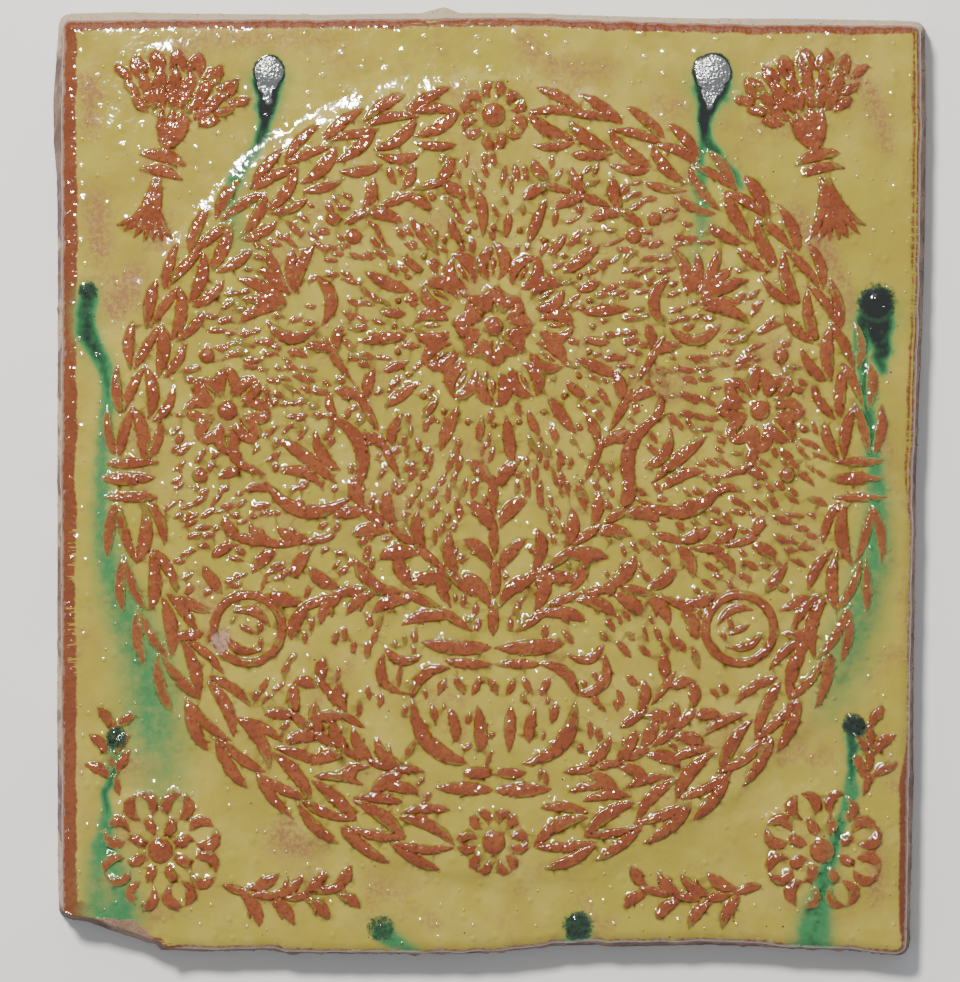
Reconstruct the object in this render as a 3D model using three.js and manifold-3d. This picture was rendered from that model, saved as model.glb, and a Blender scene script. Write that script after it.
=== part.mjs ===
// A press-moulded wall tile of red earthenware, lying on its back with its face up.
// The face carries a raised medallion with a laurel wreath round it, a flowering plant in
// a footed urn inside the wreath, and a sheaf or a flower in each corner. All of it was
// pressed from one carved mould, so the tile is one solid. X runs across the face, Y runs
// up the picture and Z comes out of the face. Sizes are in millimetres.
import * as THREE from "three";
import { mergeVertices } from "three/addons/utils/BufferGeometryUtils.js";
import Module from "manifold-3d";

const wasm = await Module();
wasm.setup();

// The slab
const faceWidth = 250;
const faceHeight = 273;
const tileThickness = 16;
const edgeRound = 3;
const cornerRound = 2.4;
const sideDraft = 2.3;

// The raised medallion and the wreath on its rim
const medallionX = 0.7;
const medallionY = 1.5;
const fieldMargin = 9;
const medallionRise = 1.5;
const shoulderWidth = 3.4;
const wreathWidth = 19;
const upperLeafBunches = 12;
const lowerLeafBunches = 10;
const leafWidth = 3.4;
const bandSpacing = 5;

// The carved marks: how high a ridge and a dome stand, how far their feet are buried, how
// much wider than its mark a ridge is to make up for its sharp crest, and up to what length
// a ridge has a single peak
const ridgeHeight = 1.2;
const domeHeight = 1.3;
const footDepth = 0.4;
const crestSpread = 0.6;
const shortMark = 12;

// The corner ornaments
const cornerPadRise = 0.7;
const sheafInset = [30, 37];
const earWidth = 5;
const flowerInset = [28, 29];

// The spalled chip at the lower left corner
const chipLength = 17;
const chipWidth = 3.4;
const chipSlope = 38;

const rad = THREE.MathUtils.degToRad;
const wreathRadius = Math.min(faceWidth, faceHeight) / 2 - fieldMargin;
const pictureRadius = wreathRadius - wreathWidth;

// The four edges, walked anticlockwise from the lower left corner. Each station is
// [share of the edge, how far the face stands out there, how much further the back does].
// The first and last station of an edge only say where its corners lie.
const bottomEdge = [
  [0, -10.3, 0], [0.033, -9, 0], [0.054, -6.9, 0], [0.084, -4.4, 0], [0.1, -2.9, 0],
  [0.11, -2.5, 0], [0.115, -0.8, 0], [0.165, 0.2, -0.6], [0.247, -0.3, -0.6],
  [0.257, 0.8, -0.8], [0.33, 1, -0.8], [0.473, 1.1, -0.8], [0.51, 0.4, -0.6],
  [0.564, -1.05, -0.6], [0.572, -1.6, -0.4], [0.627, -2.5, 0.2], [0.637, -1.7, 0],
  [0.751, -2.3, 0], [0.819, -1.5, -0.2], [0.842, -0.7, -0.6], [0.926, 0, -0.6],
  [0.947, 0.9, -0.8], [0.975, 1.5, -0.6], [1, 0.8, -0.4],
];
const rightEdge = [
  [0, -3.2, -0.3], [0.072, -2.9, -0.2], [0.174, -2.6, 0.4], [0.231, -2.3, 0],
  [0.349, -1.8, -0.3], [0.508, -1.2, -0.3], [0.598, -0.3, -0.2], [0.667, 0.3, 0.1],
  [0.771, 0.7, 0.5], [0.891, 1.2, 0.3], [1, 0.9, 0.2],
];
const topEdge = [
  [0, -1.9, 0.3], [0.154, -1.5, 0.7], [0.256, -1.2, 0.4], [0.331, -0.6, 0.3],
  [0.42, 0.2, 0.2], [0.479, 0.65, 0.2], [0.537, 0.45, 0.4], [0.555, 0.35, 2.4],
  [0.582, 0.3, 0.5], [0.701, 0, 0.3], [0.85, 0, 0.7], [0.936, -0.1, 1.2], [1, -0.4, 1],
];
const leftEdge = [
  [0, 0.7, 0], [0.088, 1.2, 1.4], [0.136, 1.2, 1.3], [0.174, 1.2, 0.3], [0.25, 1.2, 0],
  [0.496, 1.3, 0], [0.73, 1.3, 0.1], [0.925, 1.1, 0], [0.945, 1, -0.1], [1, 1, -0.2],
];

// The tile's edge drawn in by inset, with its unevenness worn down to a share of what it is
// at the face's rim. The back has the extra of the stations too.
function edgeRing(inset, unevenness, backShare) {
  const halfWidth = faceWidth / 2 - inset;
  const halfHeight = faceHeight / 2 - inset;
  const sides = [
    { stations: bottomEdge, at: (s, out) => [(2 * s - 1) * halfWidth, -halfHeight - out] },
    { stations: rightEdge, at: (s, out) => [halfWidth + out, (2 * s - 1) * halfHeight] },
    { stations: topEdge, at: (s, out) => [(1 - 2 * s) * halfWidth, halfHeight + out] },
    { stations: leftEdge, at: (s, out) => [-halfWidth - out, (1 - 2 * s) * halfHeight] },
  ];
  const walls = sides.map(({ stations, at }) =>
    stations.map(([share, face, back]) => at(share, face * unevenness + back * backShare)),
  );
  const ring = [];
  walls.forEach((wall, i) => {
    const next = walls[(i + 1) % walls.length];
    const last = wall[wall.length - 1];
    const corner = i % 2 === 1 ? [last[0], next[0][1]] : [next[0][0], last[1]];
    const reach = Math.max(cornerRound - inset / 2, 0.6);
    const between = wall.slice(1, -1);
    ring.push(...between, ...roundedCorner(between[between.length - 1], corner, next[1], reach));
  });
  return ring;
}

// Four points of the round that takes a sharp corner away, between its neighbours.
function roundedCorner(before, corner, after, reach) {
  const towards = (p) => {
    const d = Math.hypot(p[0] - corner[0], p[1] - corner[1]);
    return [corner[0] + ((p[0] - corner[0]) * reach) / d, corner[1] + ((p[1] - corner[1]) * reach) / d];
  };
  const start = towards(before);
  const end = towards(after);
  return [0, 1 / 3, 2 / 3, 1].map((t) => [
    (1 - t) ** 2 * start[0] + 2 * t * (1 - t) * corner[0] + t * t * end[0],
    (1 - t) ** 2 * start[1] + 2 * t * (1 - t) * corner[1] + t * t * end[1],
  ]);
}

// Turns a list of corners and faces, or a finished geometry, into a solid.
function solidOf(geometry) {
  const bare = geometry.clone();
  bare.deleteAttribute("normal");
  bare.deleteAttribute("uv");
  const merged = mergeVertices(bare, 1e-4);
  return new wasm.Manifold(
    new wasm.Mesh({
      numProp: 3,
      vertProperties: new Float32Array(merged.attributes.position.array),
      triVerts: new Uint32Array(merged.index.array),
    }),
  );
}

function solidOfFaces(points, faces) {
  const geometry = new THREE.BufferGeometry();
  geometry.setAttribute("position", new THREE.Float32BufferAttribute(points.flat(), 3));
  geometry.setIndex(faces.flat());
  return solidOf(geometry);
}

// A closed solid through rings of equal count, from the lowest to the highest. Each lid is
// a fan about the middle of the frame, so that every point of its ring is used.
function loft(levels) {
  const count = levels[0].ring.length;
  const points = levels.flatMap(({ ring, z }) => ring.map(([x, y]) => [x, y, z]));
  const highest = (levels.length - 1) * count;
  const lowCentre = points.push([0, 0, levels[0].z]) - 1;
  const highCentre = points.push([0, 0, levels[levels.length - 1].z]) - 1;
  const faces = [];
  for (let i = 0; i < count; i += 1) {
    const next = (i + 1) % count;
    for (let lower = 0; lower < highest; lower += count) {
      const upper = lower + count;
      faces.push([lower + i, lower + next, upper + next], [lower + i, upper + next, upper + i]);
    }
    faces.push([lowCentre, next, i], [highCentre, highest + i, highest + next]);
  }
  return solidOfFaces(points, faces);
}

function slab() {
  const levels = [{ ring: edgeRing(-sideDraft, 1, 1), z: 0 }];
  [0, 30, 60, 90].forEach((angle) => {
    const inset = edgeRound * (1 - Math.cos(rad(angle)));
    const z = tileThickness - edgeRound + edgeRound * Math.sin(rad(angle));
    levels.push({ ring: edgeRing(inset, 1 - (0.4 * inset) / edgeRound, 0), z });
  });
  return loft(levels);
}

// The raised grounds on the field, each a low plateau with sloping sides, round or oval:
// the medallion, then a pad under the sheaf and under the flower of each side's corners.
const sheafX = faceWidth / 2 - sheafInset[0];
const sheafY = faceHeight / 2 - sheafInset[1];
const flowerX = faceWidth / 2 - flowerInset[0];
const flowerY = -faceHeight / 2 + flowerInset[1];
const pad = { rise: cornerPadRise, slope: 3, segments: 20 };
const medallionGround = {
  x: medallionX, y: medallionY, radiusX: wreathRadius, radiusY: wreathRadius, turn: 0,
  rise: medallionRise, slope: shoulderWidth, segments: 72,
};
const grounds = [
  medallionGround,
  ...[1, -1].flatMap((side) => [
    { ...pad, x: side * sheafX, y: sheafY, radiusX: 17, radiusY: 27, turn: side * 12 },
    { ...pad, x: side * flowerX, y: flowerY, radiusX: 17.5, radiusY: 17.5, turn: 0 },
  ]),
];

function plateau({ x, y, radiusX, radiusY, turn, rise, slope, segments }) {
  const buriedFoot = radiusX + slope * (1 + footDepth / rise);
  const profile = [[0, -footDepth], [buriedFoot, -footDepth], [radiusX, rise], [0, rise]];
  const geometry = new THREE.LatheGeometry(profile.map(([r, z]) => new THREE.Vector2(r, z)), segments);
  geometry.rotateX(Math.PI / 2);
  geometry.scale(1, radiusY / radiusX, 1);
  geometry.rotateZ(rad(turn));
  geometry.translate(x, y, tileThickness);
  return solidOf(geometry);
}

// How high the ground under the carving lies at a point of the face.
function groundHeight(x, y) {
  const rises = grounds.map((ground) => {
    const [dx, dy] = [x - ground.x, y - ground.y];
    const [cos, sin] = [Math.cos(rad(ground.turn)), Math.sin(rad(ground.turn))];
    const across = dx * cos + dy * sin;
    const along = ((dy * cos - dx * sin) * ground.radiusX) / ground.radiusY;
    const inward = ground.radiusX + ground.slope - Math.hypot(across, along);
    return ground.rise * THREE.MathUtils.clamp(inward / ground.slope, 0, 1);
  });
  return tileThickness + Math.max(...rises);
}

// One carved mark: a ridge from one point to another, bowed to its left by bow times its length.
const mark = (x0, y0, x1, y1, width, bow = 0) => ({ from: [x0, y0], to: [x1, y1], width, bow });
// A mark given by its middle, its direction in degrees and its length.
function markAt(x, y, direction, length, width, bow = 0) {
  const dx = (Math.cos(rad(direction)) * length) / 2;
  const dy = (Math.sin(rad(direction)) * length) / 2;
  return mark(x - dx, y - dy, x + dx, y + dy, width, bow);
}
const dome = (x, y, radius) => ({ from: [x, y], radius });
const hoop = (x, y, radius, width) => ({ from: [x, y], radius, hoop: width });

// The same marks turned, mirrored left to right and moved.
function placed(marks, x, y, turn = 0, mirrored = false) {
  const cos = Math.cos(rad(turn));
  const sin = Math.sin(rad(turn));
  const put = ([px, py]) => {
    const side = mirrored ? -1 : 1;
    return [x + side * (px * cos - py * sin), y + px * sin + py * cos];
  };
  return marks.map((m) => ({
    ...m,
    from: put(m.from),
    ...(m.to && { to: put(m.to), bow: mirrored ? -m.bow : m.bow }),
  }));
}
const bothSides = (marks) => [...marks, ...placed(marks, 0, 0, 0, true)];

// Count copies of some marks, turned evenly about the middle from a first angle.
function ringOf(count, firstAngle, marks) {
  return Array.from({ length: count }, (_, i) => placed(marks, 0, 0, firstAngle + (360 * i) / count)).flat();
}

// A flower of outlined petals round a dome.
function blossom(petals, inner, outer, width) {
  const petal = [
    mark(inner, inner * 0.25, outer, 0, width, 0.2),
    mark(inner, -inner * 0.25, outer, 0, width, -0.2),
  ];
  return [dome(0, 0, inner * 0.62), ...ringOf(petals, 90, petal)];
}

// A stem along a bent line, with a pair of leaves at each joint.
function spray(start, bend, end, pairs, length, width) {
  const at = (t) => [0, 1].map((k) => (1 - t) ** 2 * start[k] + 2 * t * (1 - t) * bend[k] + t * t * end[k]);
  const marks = [];
  for (let i = 0; i < pairs; i += 1) {
    const [ax, ay] = at((i + 0.04) / pairs);
    const [bx, by] = at((i + 0.96) / pairs);
    const along = THREE.MathUtils.radToDeg(Math.atan2(by - ay, bx - ax));
    const [mx, my] = at((i + 0.6) / pairs);
    const leaf = length * (1 - (0.35 * i) / pairs);
    marks.push(mark(ax, ay, bx, by, width * 0.75));
    [-1, 1].forEach((side) => {
      const lean = along + side * 42;
      const reach = leaf / 2 + width * 0.55;
      const x = mx + Math.cos(rad(lean)) * reach;
      const y = my + Math.sin(rad(lean)) * reach;
      marks.push(markAt(x, y, lean, leaf, width, -side * 0.12));
    });
  }
  return marks;
}

// One bunch of the wreath: an outer leaf, a folded pair that meets in a point, and an inner
// leaf. Arm is half the bunch's length along the wreath.
function leafBunch(arm) {
  const middle = -wreathWidth / 2;
  return [
    markAt(-arm * 0.1, middle + 6.5, 17, arm * 2.05, leafWidth * 0.9, 0.06),
    mark(-arm * 1.02, middle + 3.4, arm * 1.05, middle + 1.2, leafWidth * 0.8, 0.06),
    mark(-arm * 1.02, middle - 3.8, arm * 1.05, middle + 1, leafWidth, -0.09),
    markAt(-arm * 0.2, middle - 7, -15, arm * 1.7, leafWidth * 0.8, -0.07),
  ];
}

// A quarter of the wreath, from a side band at angle from to the flower at angle to.
function wreathQuarter(from, to, bunches) {
  const marks = [];
  const step = (to - from) / (bunches + 1.5);
  const arm = Math.abs(rad(step)) * wreathRadius * 0.52;
  for (let i = 0; i < bunches; i += 1) {
    const angle = from + step * (i + 1.1);
    const bunch = placed(leafBunch(arm), 0, wreathRadius);
    marks.push(...(to < from ? placed(bunch, 0, 0, angle - 90) : placed(bunch, 0, 0, 90 - angle, true)));
  }
  return marks;
}

// The flower that closes the wreath, at its top and at its foot.
function wreathFlower() {
  const petal = [mark(5.2, 1.2, 9.8, 0.2, 2.6, 0.32), mark(5.2, -1.2, 9.8, -0.2, 2.6, -0.32)];
  return [dome(0, 0, 3.4), ...ringOf(6, 30, petal)];
}

// The three bars that bind the wreath at each side.
function wreathBand() {
  const middle = wreathRadius - wreathWidth / 2;
  const [near, far] = [middle - wreathWidth * 0.4, middle + wreathWidth * 0.42];
  return [-1, 0, 1].map((i) => mark(near, i * bandSpacing, far, i * bandSpacing, i ? 2.6 : 3.6));
}

function wreath() {
  const middle = wreathRadius - wreathWidth / 2;
  return [
    ...wreathQuarter(180, 90, upperLeafBunches),
    ...wreathQuarter(0, 90, upperLeafBunches),
    ...wreathQuarter(180, 270, lowerLeafBunches),
    ...wreathQuarter(360, 270, lowerLeafBunches),
    ...bothSides(wreathBand()),
    ...placed(wreathFlower(), 0, middle),
    ...placed(wreathFlower(), 0, -middle, 30),
  ];
}

// The urn, from its foot to its rim and its two scrolled handles.
function urn() {
  return bothSides([
    mark(0.5, 0, 17, 0.8, 3.8), mark(1, 4.8, 9, 5, 3), mark(8.5, 7.8, 24, 26, 4, -0.2),
    mark(24, 27, 13, 36, 3.4, -0.2), mark(0.5, 36.6, 14, 37, 2.8), mark(0.5, 41.6, 21, 43, 4, -0.04),
    mark(26, 28, 33, 40, 3, -0.34), mark(32, 42, 21.5, 39.5, 2.6, 0.25),
    mark(4.2, 11, 5, 24, 3.2), mark(10.4, 14, 12.4, 24, 3, 0.06), mark(17, 19, 18, 25, 2.2, 0.05),
  ]);
}

// A tulip, opening upwards.
function tulip(size) {
  return [
    ...bothSides([
      mark(0.5, -size * 0.5, size * 0.6, size * 0.5, 3.6, -0.26),
      mark(size * 0.17, -size * 0.16, size * 0.34, size * 0.42, 3, 0.16),
      mark(size * 0.66, size * 0.3, size * 0.86, size * 0.62, 2.4, 0.2),
    ]),
    mark(0, -size * 0.24, 0, size * 0.7, 3.4),
  ];
}

// A round ribbed fruit with a crown of three leaves.
function fruit(size) {
  const crown = [-30, 0, 30].map((lean) =>
    markAt(-Math.sin(rad(lean)) * size * 0.9, Math.cos(rad(lean)) * size * 0.9, 90 + lean, size * 0.5, 3),
  );
  const ribs = bothSides([mark(size * 0.17, -size * 0.28, size * 0.17, size * 0.28, 2.4, -0.2)]);
  return [hoop(0, 0, size * 0.5, 3), ...crown, ...ribs];
}

// A carnation: notched petals spread over a cup.
function carnation(size) {
  const marks = bothSides([mark(0.4, -size * 0.46, size * 0.36, -size * 0.05, 3.2, -0.28)]);
  for (let i = -3; i <= 3; i += 1) {
    const tip = size * (i % 2 ? 0.66 : 0.56);
    marks.push(...placed([mark(0, size * 0.12, 0, tip, 3.2, 0.04 * i)], 0, -size * 0.1, -i * 21));
  }
  return marks;
}

// The great flower at the head of the plant, with rays round it.
function sunflower() {
  const petal = [mark(13.5, 1.6, 23.5, 0.3, 3.3, 0.24), mark(13.5, -1.6, 23.5, -0.3, 3.3, -0.24)];
  return [
    ...blossom(8, 4.4, 11, 3.4),
    ...ringOf(12, 90, petal),
    ...ringOf(12, 97.5, [mark(26.5, 0, 40, 0, 3.2)]),
  ];
}

// The flowering plant that fills the wreath, on a disc of pictureRadius. The urn stands at
// base, and the great flower opens at heart.
function plant() {
  const base = -pictureRadius + 6;
  const heart = pictureRadius * 0.46;
  return [
    ...placed(urn(), 0, base),
    ...placed(sunflower(), 0, heart),
    ...spray([0, base + 45], [0.6, -24], [0, heart - 43], 4, 13, 3.6),
    ...bothSides([
      ...spray([6, base + 46], [30, base + 68], [59, base + 52], 5, 13, 3.6),
      ...placed(fruit(20), 72, base + 47, -66),
      ...spray([5, base + 56], [24, -18], [40, -8], 4, 12.5, 3.6),
      ...placed(tulip(22), 50, 2, -50),
      ...spray([46, -16], [62, -24], [78, -17], 3, 10, 3.2),
      ...spray([66, 1], [72, 0], [77, 6], 1, 6, 3),
      ...placed(blossom(8, 4.6, 12.5, 3.2), 78, 20),
      ...spray([27, 0], [35, 20], [50, 42], 3, 9.5, 3),
      ...placed(carnation(27), 60, 53, -46),
      ...spray([44, 74], [30, 84], [12, 87], 3, 9.5, 3.2),
      ...spray([20, base + 5], [44, base + 6], [60, base + 24], 5, 11, 3.4),
      ...spray([37, base + 18], [46, base + 22], [53, base + 34], 2, 9, 3),
      mark(22, base - 0.4, 33, base + 1, 2.8, 0.08),
      dome(41, 71, 2.2), dome(47, 76, 2), dome(84, 36, 2.2), dome(86, 1, 2.2), dome(34, -32, 2), dome(57, -8, 1.8),
    ]),
  ];
}

// A sheaf with full ears above its binding and spread straws below, for an upper corner.
function sheaf() {
  const marks = [mark(-6.5, -5, 6.5, -5, 3.6, 0.12), mark(-6, -9.4, 6, -9.4, 3, 0.12)];
  for (let i = -3; i <= 3; i += 1) {
    marks.push(...placed([mark(0, -29, 0, -12.5, 3.3 - Math.abs(i) * 0.2, 0.05 * i)], -i * 1.1, 0, i * 8));
    marks.push(...placed([mark(0, -2.5, 0, 10.5, 2.6, -0.03 * i)], 0, 0, -i * 9));
    marks.push(...placed([mark(0, 11.5, 0, 29, earWidth)], 0, 0, -i * 13.5));
  }
  return marks;
}

// A double rosette with a sprig along each side of its corner, for a lower corner.
function cornerFlower() {
  const petal = [
    mark(10.5, 2, 17.5, 0.6, 3, 0.34),
    mark(10.5, -2, 17.5, -0.6, 3, -0.34),
  ];
  return [
    dome(0, 0, 3.6),
    ...ringOf(8, 22.5, petal),
    ...spray([18, -10], [34, -17], [54, -11], 4, 10.5, 3.2),
    ...spray([-12, 16], [-16, 26], [-13, 38], 3, 8.5, 2.8),
  ];
}

// The ridge of a mark, with a level crest that runs out to a point at each end. It follows
// the ground that it lies on, and a short one has a single peak.
function ridge({ from, to, width, bow }) {
  const [dx, dy] = [to[0] - from[0], to[1] - from[1]];
  const length = Math.hypot(dx, dy);
  const half = (((width + crestSpread) / 2) * (ridgeHeight + footDepth)) / ridgeHeight;
  const station = (t, across, height) => {
    const aside = bow * length * 4 * t * (1 - t) + across;
    const x = from[0] + dx * t - (dy / length) * aside;
    const y = from[1] + dy * t + (dx / length) * aside;
    return [x, y, groundHeight(x, y) + height];
  };
  const points = [station(0, 0, -footDepth)];
  const sections = length > shortMark ? [0.25, 0.75] : [0.5];
  sections.forEach((t) => {
    points.push(station(t, half, -footDepth), station(t, -half, -footDepth), station(t, 0, ridgeHeight));
  });
  const end = points.push(station(1, 0, -footDepth)) - 1;
  const faces = [[0, 3, 1], [0, 2, 3], [0, 1, 2]];
  let [left, right, crest] = [1, 2, 3];
  for (; crest + 1 < end; [left, right, crest] = [left + 3, right + 3, crest + 3]) {
    faces.push([left, crest, crest + 3], [left, crest + 3, left + 3]);
    faces.push([right, right + 3, crest + 3], [right, crest + 3, crest]);
    faces.push([left, left + 3, right], [right, left + 3, right + 3]);
  }
  faces.push([left, crest, end], [right, end, crest], [left, end, right]);
  return solidOfFaces(points, faces);
}

// A dome or a hoop, turned round its own middle.
function turned({ from, radius, hoop: width }) {
  const profile = width
    ? [[radius - width * 0.7, -footDepth], [radius + width * 0.7, -footDepth],
      [radius, ridgeHeight], [radius - width * 0.7, -footDepth]]
    : [[0, -footDepth], [radius * 1.15, -footDepth], [radius * 0.55, domeHeight], [0, domeHeight]];
  const geometry = new THREE.LatheGeometry(profile.map(([r, h]) => new THREE.Vector2(r, h)), 8);
  geometry.rotateX(Math.PI / 2);
  geometry.translate(from[0], from[1], groundHeight(...from));
  return solidOf(geometry);
}

// Every carved mark on the face, in its own place.
function carving() {
  return [
    ...placed([...wreath(), ...plant()], medallionX, medallionY),
    ...[1, -1].flatMap((side) => [
      ...placed(sheaf(), side * sheafX, sheafY, -14, side > 0),
      ...placed(cornerFlower(), side * flowerX, flowerY, 0, side > 0),
    ]),
  ];
}

// The wedge that broke away at the lower left, with its sloping face towards the edge.
function chip() {
  const [from, to] = [bottomEdge[1], bottomEdge[4]].map(([share, out]) => [
    (2 * share - 1) * (faceWidth / 2), -faceHeight / 2 - out,
  ]);
  const direction = Math.atan2(to[1] - from[1], to[0] - from[0]);
  const depth = 20;
  const geometry = new THREE.BoxGeometry(chipLength, depth, depth);
  geometry.translate(0, -depth / 2, depth / 2);
  geometry.rotateX(rad(chipSlope));
  geometry.translate(0, chipWidth, 0);
  geometry.rotateZ(direction);
  geometry.translate((from[0] + to[0]) / 2, (from[1] + to[1]) / 2, tileThickness);
  return solidOf(geometry);
}

function tile() {
  const rim = edgeRing(edgeRound + 0.2, 0.6, 0);
  const faceColumn = loft([{ ring: rim, z: tileThickness - 1 }, { ring: rim, z: tileThickness + 10 }]);
  const raised = [...grounds.map(plateau), ...carving().map((m) => (m.to ? ridge(m) : turned(m)))];
  const relief = wasm.Manifold.union(raised).intersect(faceColumn);
  return slab().add(relief).subtract(chip());
}

// Gives a solid back as a geometry with flat faces.
function geometryOf(solid) {
  const { numProp, vertProperties, triVerts } = solid.getMesh();
  const positions = [];
  triVerts.forEach((v) => positions.push(...vertProperties.slice(v * numProp, v * numProp + 3)));
  const geometry = new THREE.BufferGeometry();
  geometry.setAttribute("position", new THREE.Float32BufferAttribute(positions, 3));
  geometry.computeVertexNormals();
  return geometry;
}

const glazedClay = new THREE.MeshStandardMaterial({ color: 0xb3a063, roughness: 0.22, metalness: 0 });
const tileMesh = new THREE.Mesh(geometryOf(tile()), glazedClay);
tileMesh.name = "tile";

// The tile's origin is the middle of its own box, on its back.
const back = new THREE.Box2().setFromPoints(
  edgeRing(-sideDraft, 1, 1).map(([x, y]) => new THREE.Vector2(x, y)),
);
const middle = back.getCenter(new THREE.Vector2());
tileMesh.position.set(-middle.x, -middle.y, 0);

const reliefTile = new THREE.Group();
reliefTile.add(tileMesh);
export default reliefTile;
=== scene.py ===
"""The looks of a press-moulded relief tile of red earthenware under a yellow lead glaze.

The tile was pressed in a carved mould, dipped in pale slip, glazed, and fired standing up.
The red body shows on every ridge where slip and glaze ran thin, copper green ran down from
eight drops, and a corner spalled off afterwards. Lengths in the carving are in millimetres,
from the middle of the face, and turn into metres where a mesh is made.
"""

from collections import namedtuple
from math import atan2, ceil, cos, degrees, hypot, pi, radians, sin, tan

import bpy
import numpy as np
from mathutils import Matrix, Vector
from mathutils.bvhtree import BVHTree
from mathutils.geometry import delaunay_2d_cdt


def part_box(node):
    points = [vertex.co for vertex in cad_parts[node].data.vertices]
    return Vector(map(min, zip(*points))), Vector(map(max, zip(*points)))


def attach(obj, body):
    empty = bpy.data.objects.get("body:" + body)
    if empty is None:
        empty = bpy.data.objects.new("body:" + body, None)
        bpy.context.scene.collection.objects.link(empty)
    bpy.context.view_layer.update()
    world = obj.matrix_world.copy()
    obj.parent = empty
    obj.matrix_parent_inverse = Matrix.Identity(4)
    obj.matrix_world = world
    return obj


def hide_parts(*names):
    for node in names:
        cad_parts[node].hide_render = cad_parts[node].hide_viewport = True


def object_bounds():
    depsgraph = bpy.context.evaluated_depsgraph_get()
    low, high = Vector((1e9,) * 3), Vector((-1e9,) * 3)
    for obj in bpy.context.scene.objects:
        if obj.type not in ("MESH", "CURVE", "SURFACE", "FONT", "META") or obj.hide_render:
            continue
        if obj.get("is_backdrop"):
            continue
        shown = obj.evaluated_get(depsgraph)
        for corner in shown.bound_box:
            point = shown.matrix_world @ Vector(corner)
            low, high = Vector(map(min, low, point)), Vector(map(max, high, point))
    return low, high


bl_info = {
    "name": "Relief Glazed Tile",
    "version": (1, 0, 0),
    "blender": (4, 5, 0),
    "location": "View3D > Sidebar > Relief Tile",
    "description": "Builds a lead-glazed relief tile around its packed solid",
    "category": "Add Mesh",
}

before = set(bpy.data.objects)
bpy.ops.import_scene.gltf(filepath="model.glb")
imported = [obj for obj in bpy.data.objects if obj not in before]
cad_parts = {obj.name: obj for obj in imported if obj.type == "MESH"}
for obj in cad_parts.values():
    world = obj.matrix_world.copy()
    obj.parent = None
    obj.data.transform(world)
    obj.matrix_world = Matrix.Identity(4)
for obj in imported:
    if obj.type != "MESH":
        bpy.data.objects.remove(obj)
BOX_AT_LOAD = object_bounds()
FLOOR_HALF = 2.0
LAMP_COLOR = (1.0, 0.965, 0.9)
SKY_COLOR = (0.93, 0.96, 1.0, 1)
FLOOR_COLOR = (0.9, 0.9, 0.89, 1)

MM = 0.001
PHOTO_WIDTH, PHOTO_HEIGHT = 960, 982
# The middle of the nominal face and of the photograph, in its pixels, and a pixel's real size
FACE_MIDDLE_PIXEL = (491.5, 484.0)
PIXEL_MM = 0.2931

TILE_NODE = "tile"
TILE_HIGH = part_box(TILE_NODE)[1]
# The face's nominal middle lies off the middle of the uneven solid by this much
FACE_MIDDLE_X = 0.00055
FACE_MIDDLE_Y = -0.00087

Stroke = namedtuple("Stroke", "line radii height")
Run = namedtuple("Run", "line widths strengths")


class ReliefTileSettings(bpy.types.PropertyGroup):
    """Sizes and colours of the tile."""

    face_width: bpy.props.FloatProperty(
        name="Face Width", description="Nominal width of the face",
        default=0.250, subtype="DISTANCE", unit="LENGTH")
    face_height: bpy.props.FloatProperty(
        name="Face Height", description="Nominal height of the face",
        default=0.273, subtype="DISTANCE", unit="LENGTH")
    thickness: bpy.props.FloatProperty(
        name="Thickness", description="From the back to the flat field of the face",
        default=0.016, subtype="DISTANCE", unit="LENGTH")
    edge_round: bpy.props.FloatProperty(
        name="Edge Round", description="Radius of the round along the face's rim",
        default=0.003, subtype="DISTANCE", unit="LENGTH")
    field_margin: bpy.props.FloatProperty(
        name="Field Margin", description="From the nearest side of the face to the wreath",
        default=0.009, subtype="DISTANCE", unit="LENGTH")
    medallion_rise: bpy.props.FloatProperty(
        name="Medallion Rise", description="How far the medallion stands out of the field",
        default=0.0015, subtype="DISTANCE", unit="LENGTH")
    shoulder_width: bpy.props.FloatProperty(
        name="Shoulder Width", description="Width of the medallion's sloping edge",
        default=0.0034, subtype="DISTANCE", unit="LENGTH")
    pad_rise: bpy.props.FloatProperty(
        name="Pad Rise", description="How far the grounds of the corner ornaments stand out",
        default=0.0007, subtype="DISTANCE", unit="LENGTH")
    ridge_height: bpy.props.FloatProperty(
        name="Ridge Height", description="Height of the carved ridges",
        default=0.001, subtype="DISTANCE", unit="LENGTH")
    wreath_width: bpy.props.FloatProperty(
        name="Wreath Width", description="Width of the laurel wreath",
        default=0.019, subtype="DISTANCE", unit="LENGTH")
    unevenness: bpy.props.FloatProperty(
        name="Unevenness", description="How much the pressed face undulates",
        default=0.00022, subtype="DISTANCE", unit="LENGTH")
    glaze_yellow: bpy.props.FloatVectorProperty(
        name="Glaze Yellow", description="Lead glaze over pale slip",
        default=(0.4, 0.32, 0.032), size=3, min=0, max=1, subtype="COLOR")
    glaze_olive: bpy.props.FloatVectorProperty(
        name="Glaze Olive", description="The glaze where it pooled deep",
        default=(0.24, 0.18, 0.012), size=3, min=0, max=1, subtype="COLOR")
    ridge_red: bpy.props.FloatVectorProperty(
        name="Ridge Red", description="The red body under thin glaze",
        default=(0.215, 0.044, 0.0062), size=3, min=0, max=1, subtype="COLOR")
    clay_bare: bpy.props.FloatVectorProperty(
        name="Bare Clay", description="The body where glaze and skin broke away",
        default=(0.3, 0.16, 0.098), size=3, min=0, max=1, subtype="COLOR")
    copper_green: bpy.props.FloatVectorProperty(
        name="Copper Green", description="The copper runs where they are bright",
        default=(0.032, 0.195, 0.06), size=3, min=0, max=1, subtype="COLOR")


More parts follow.
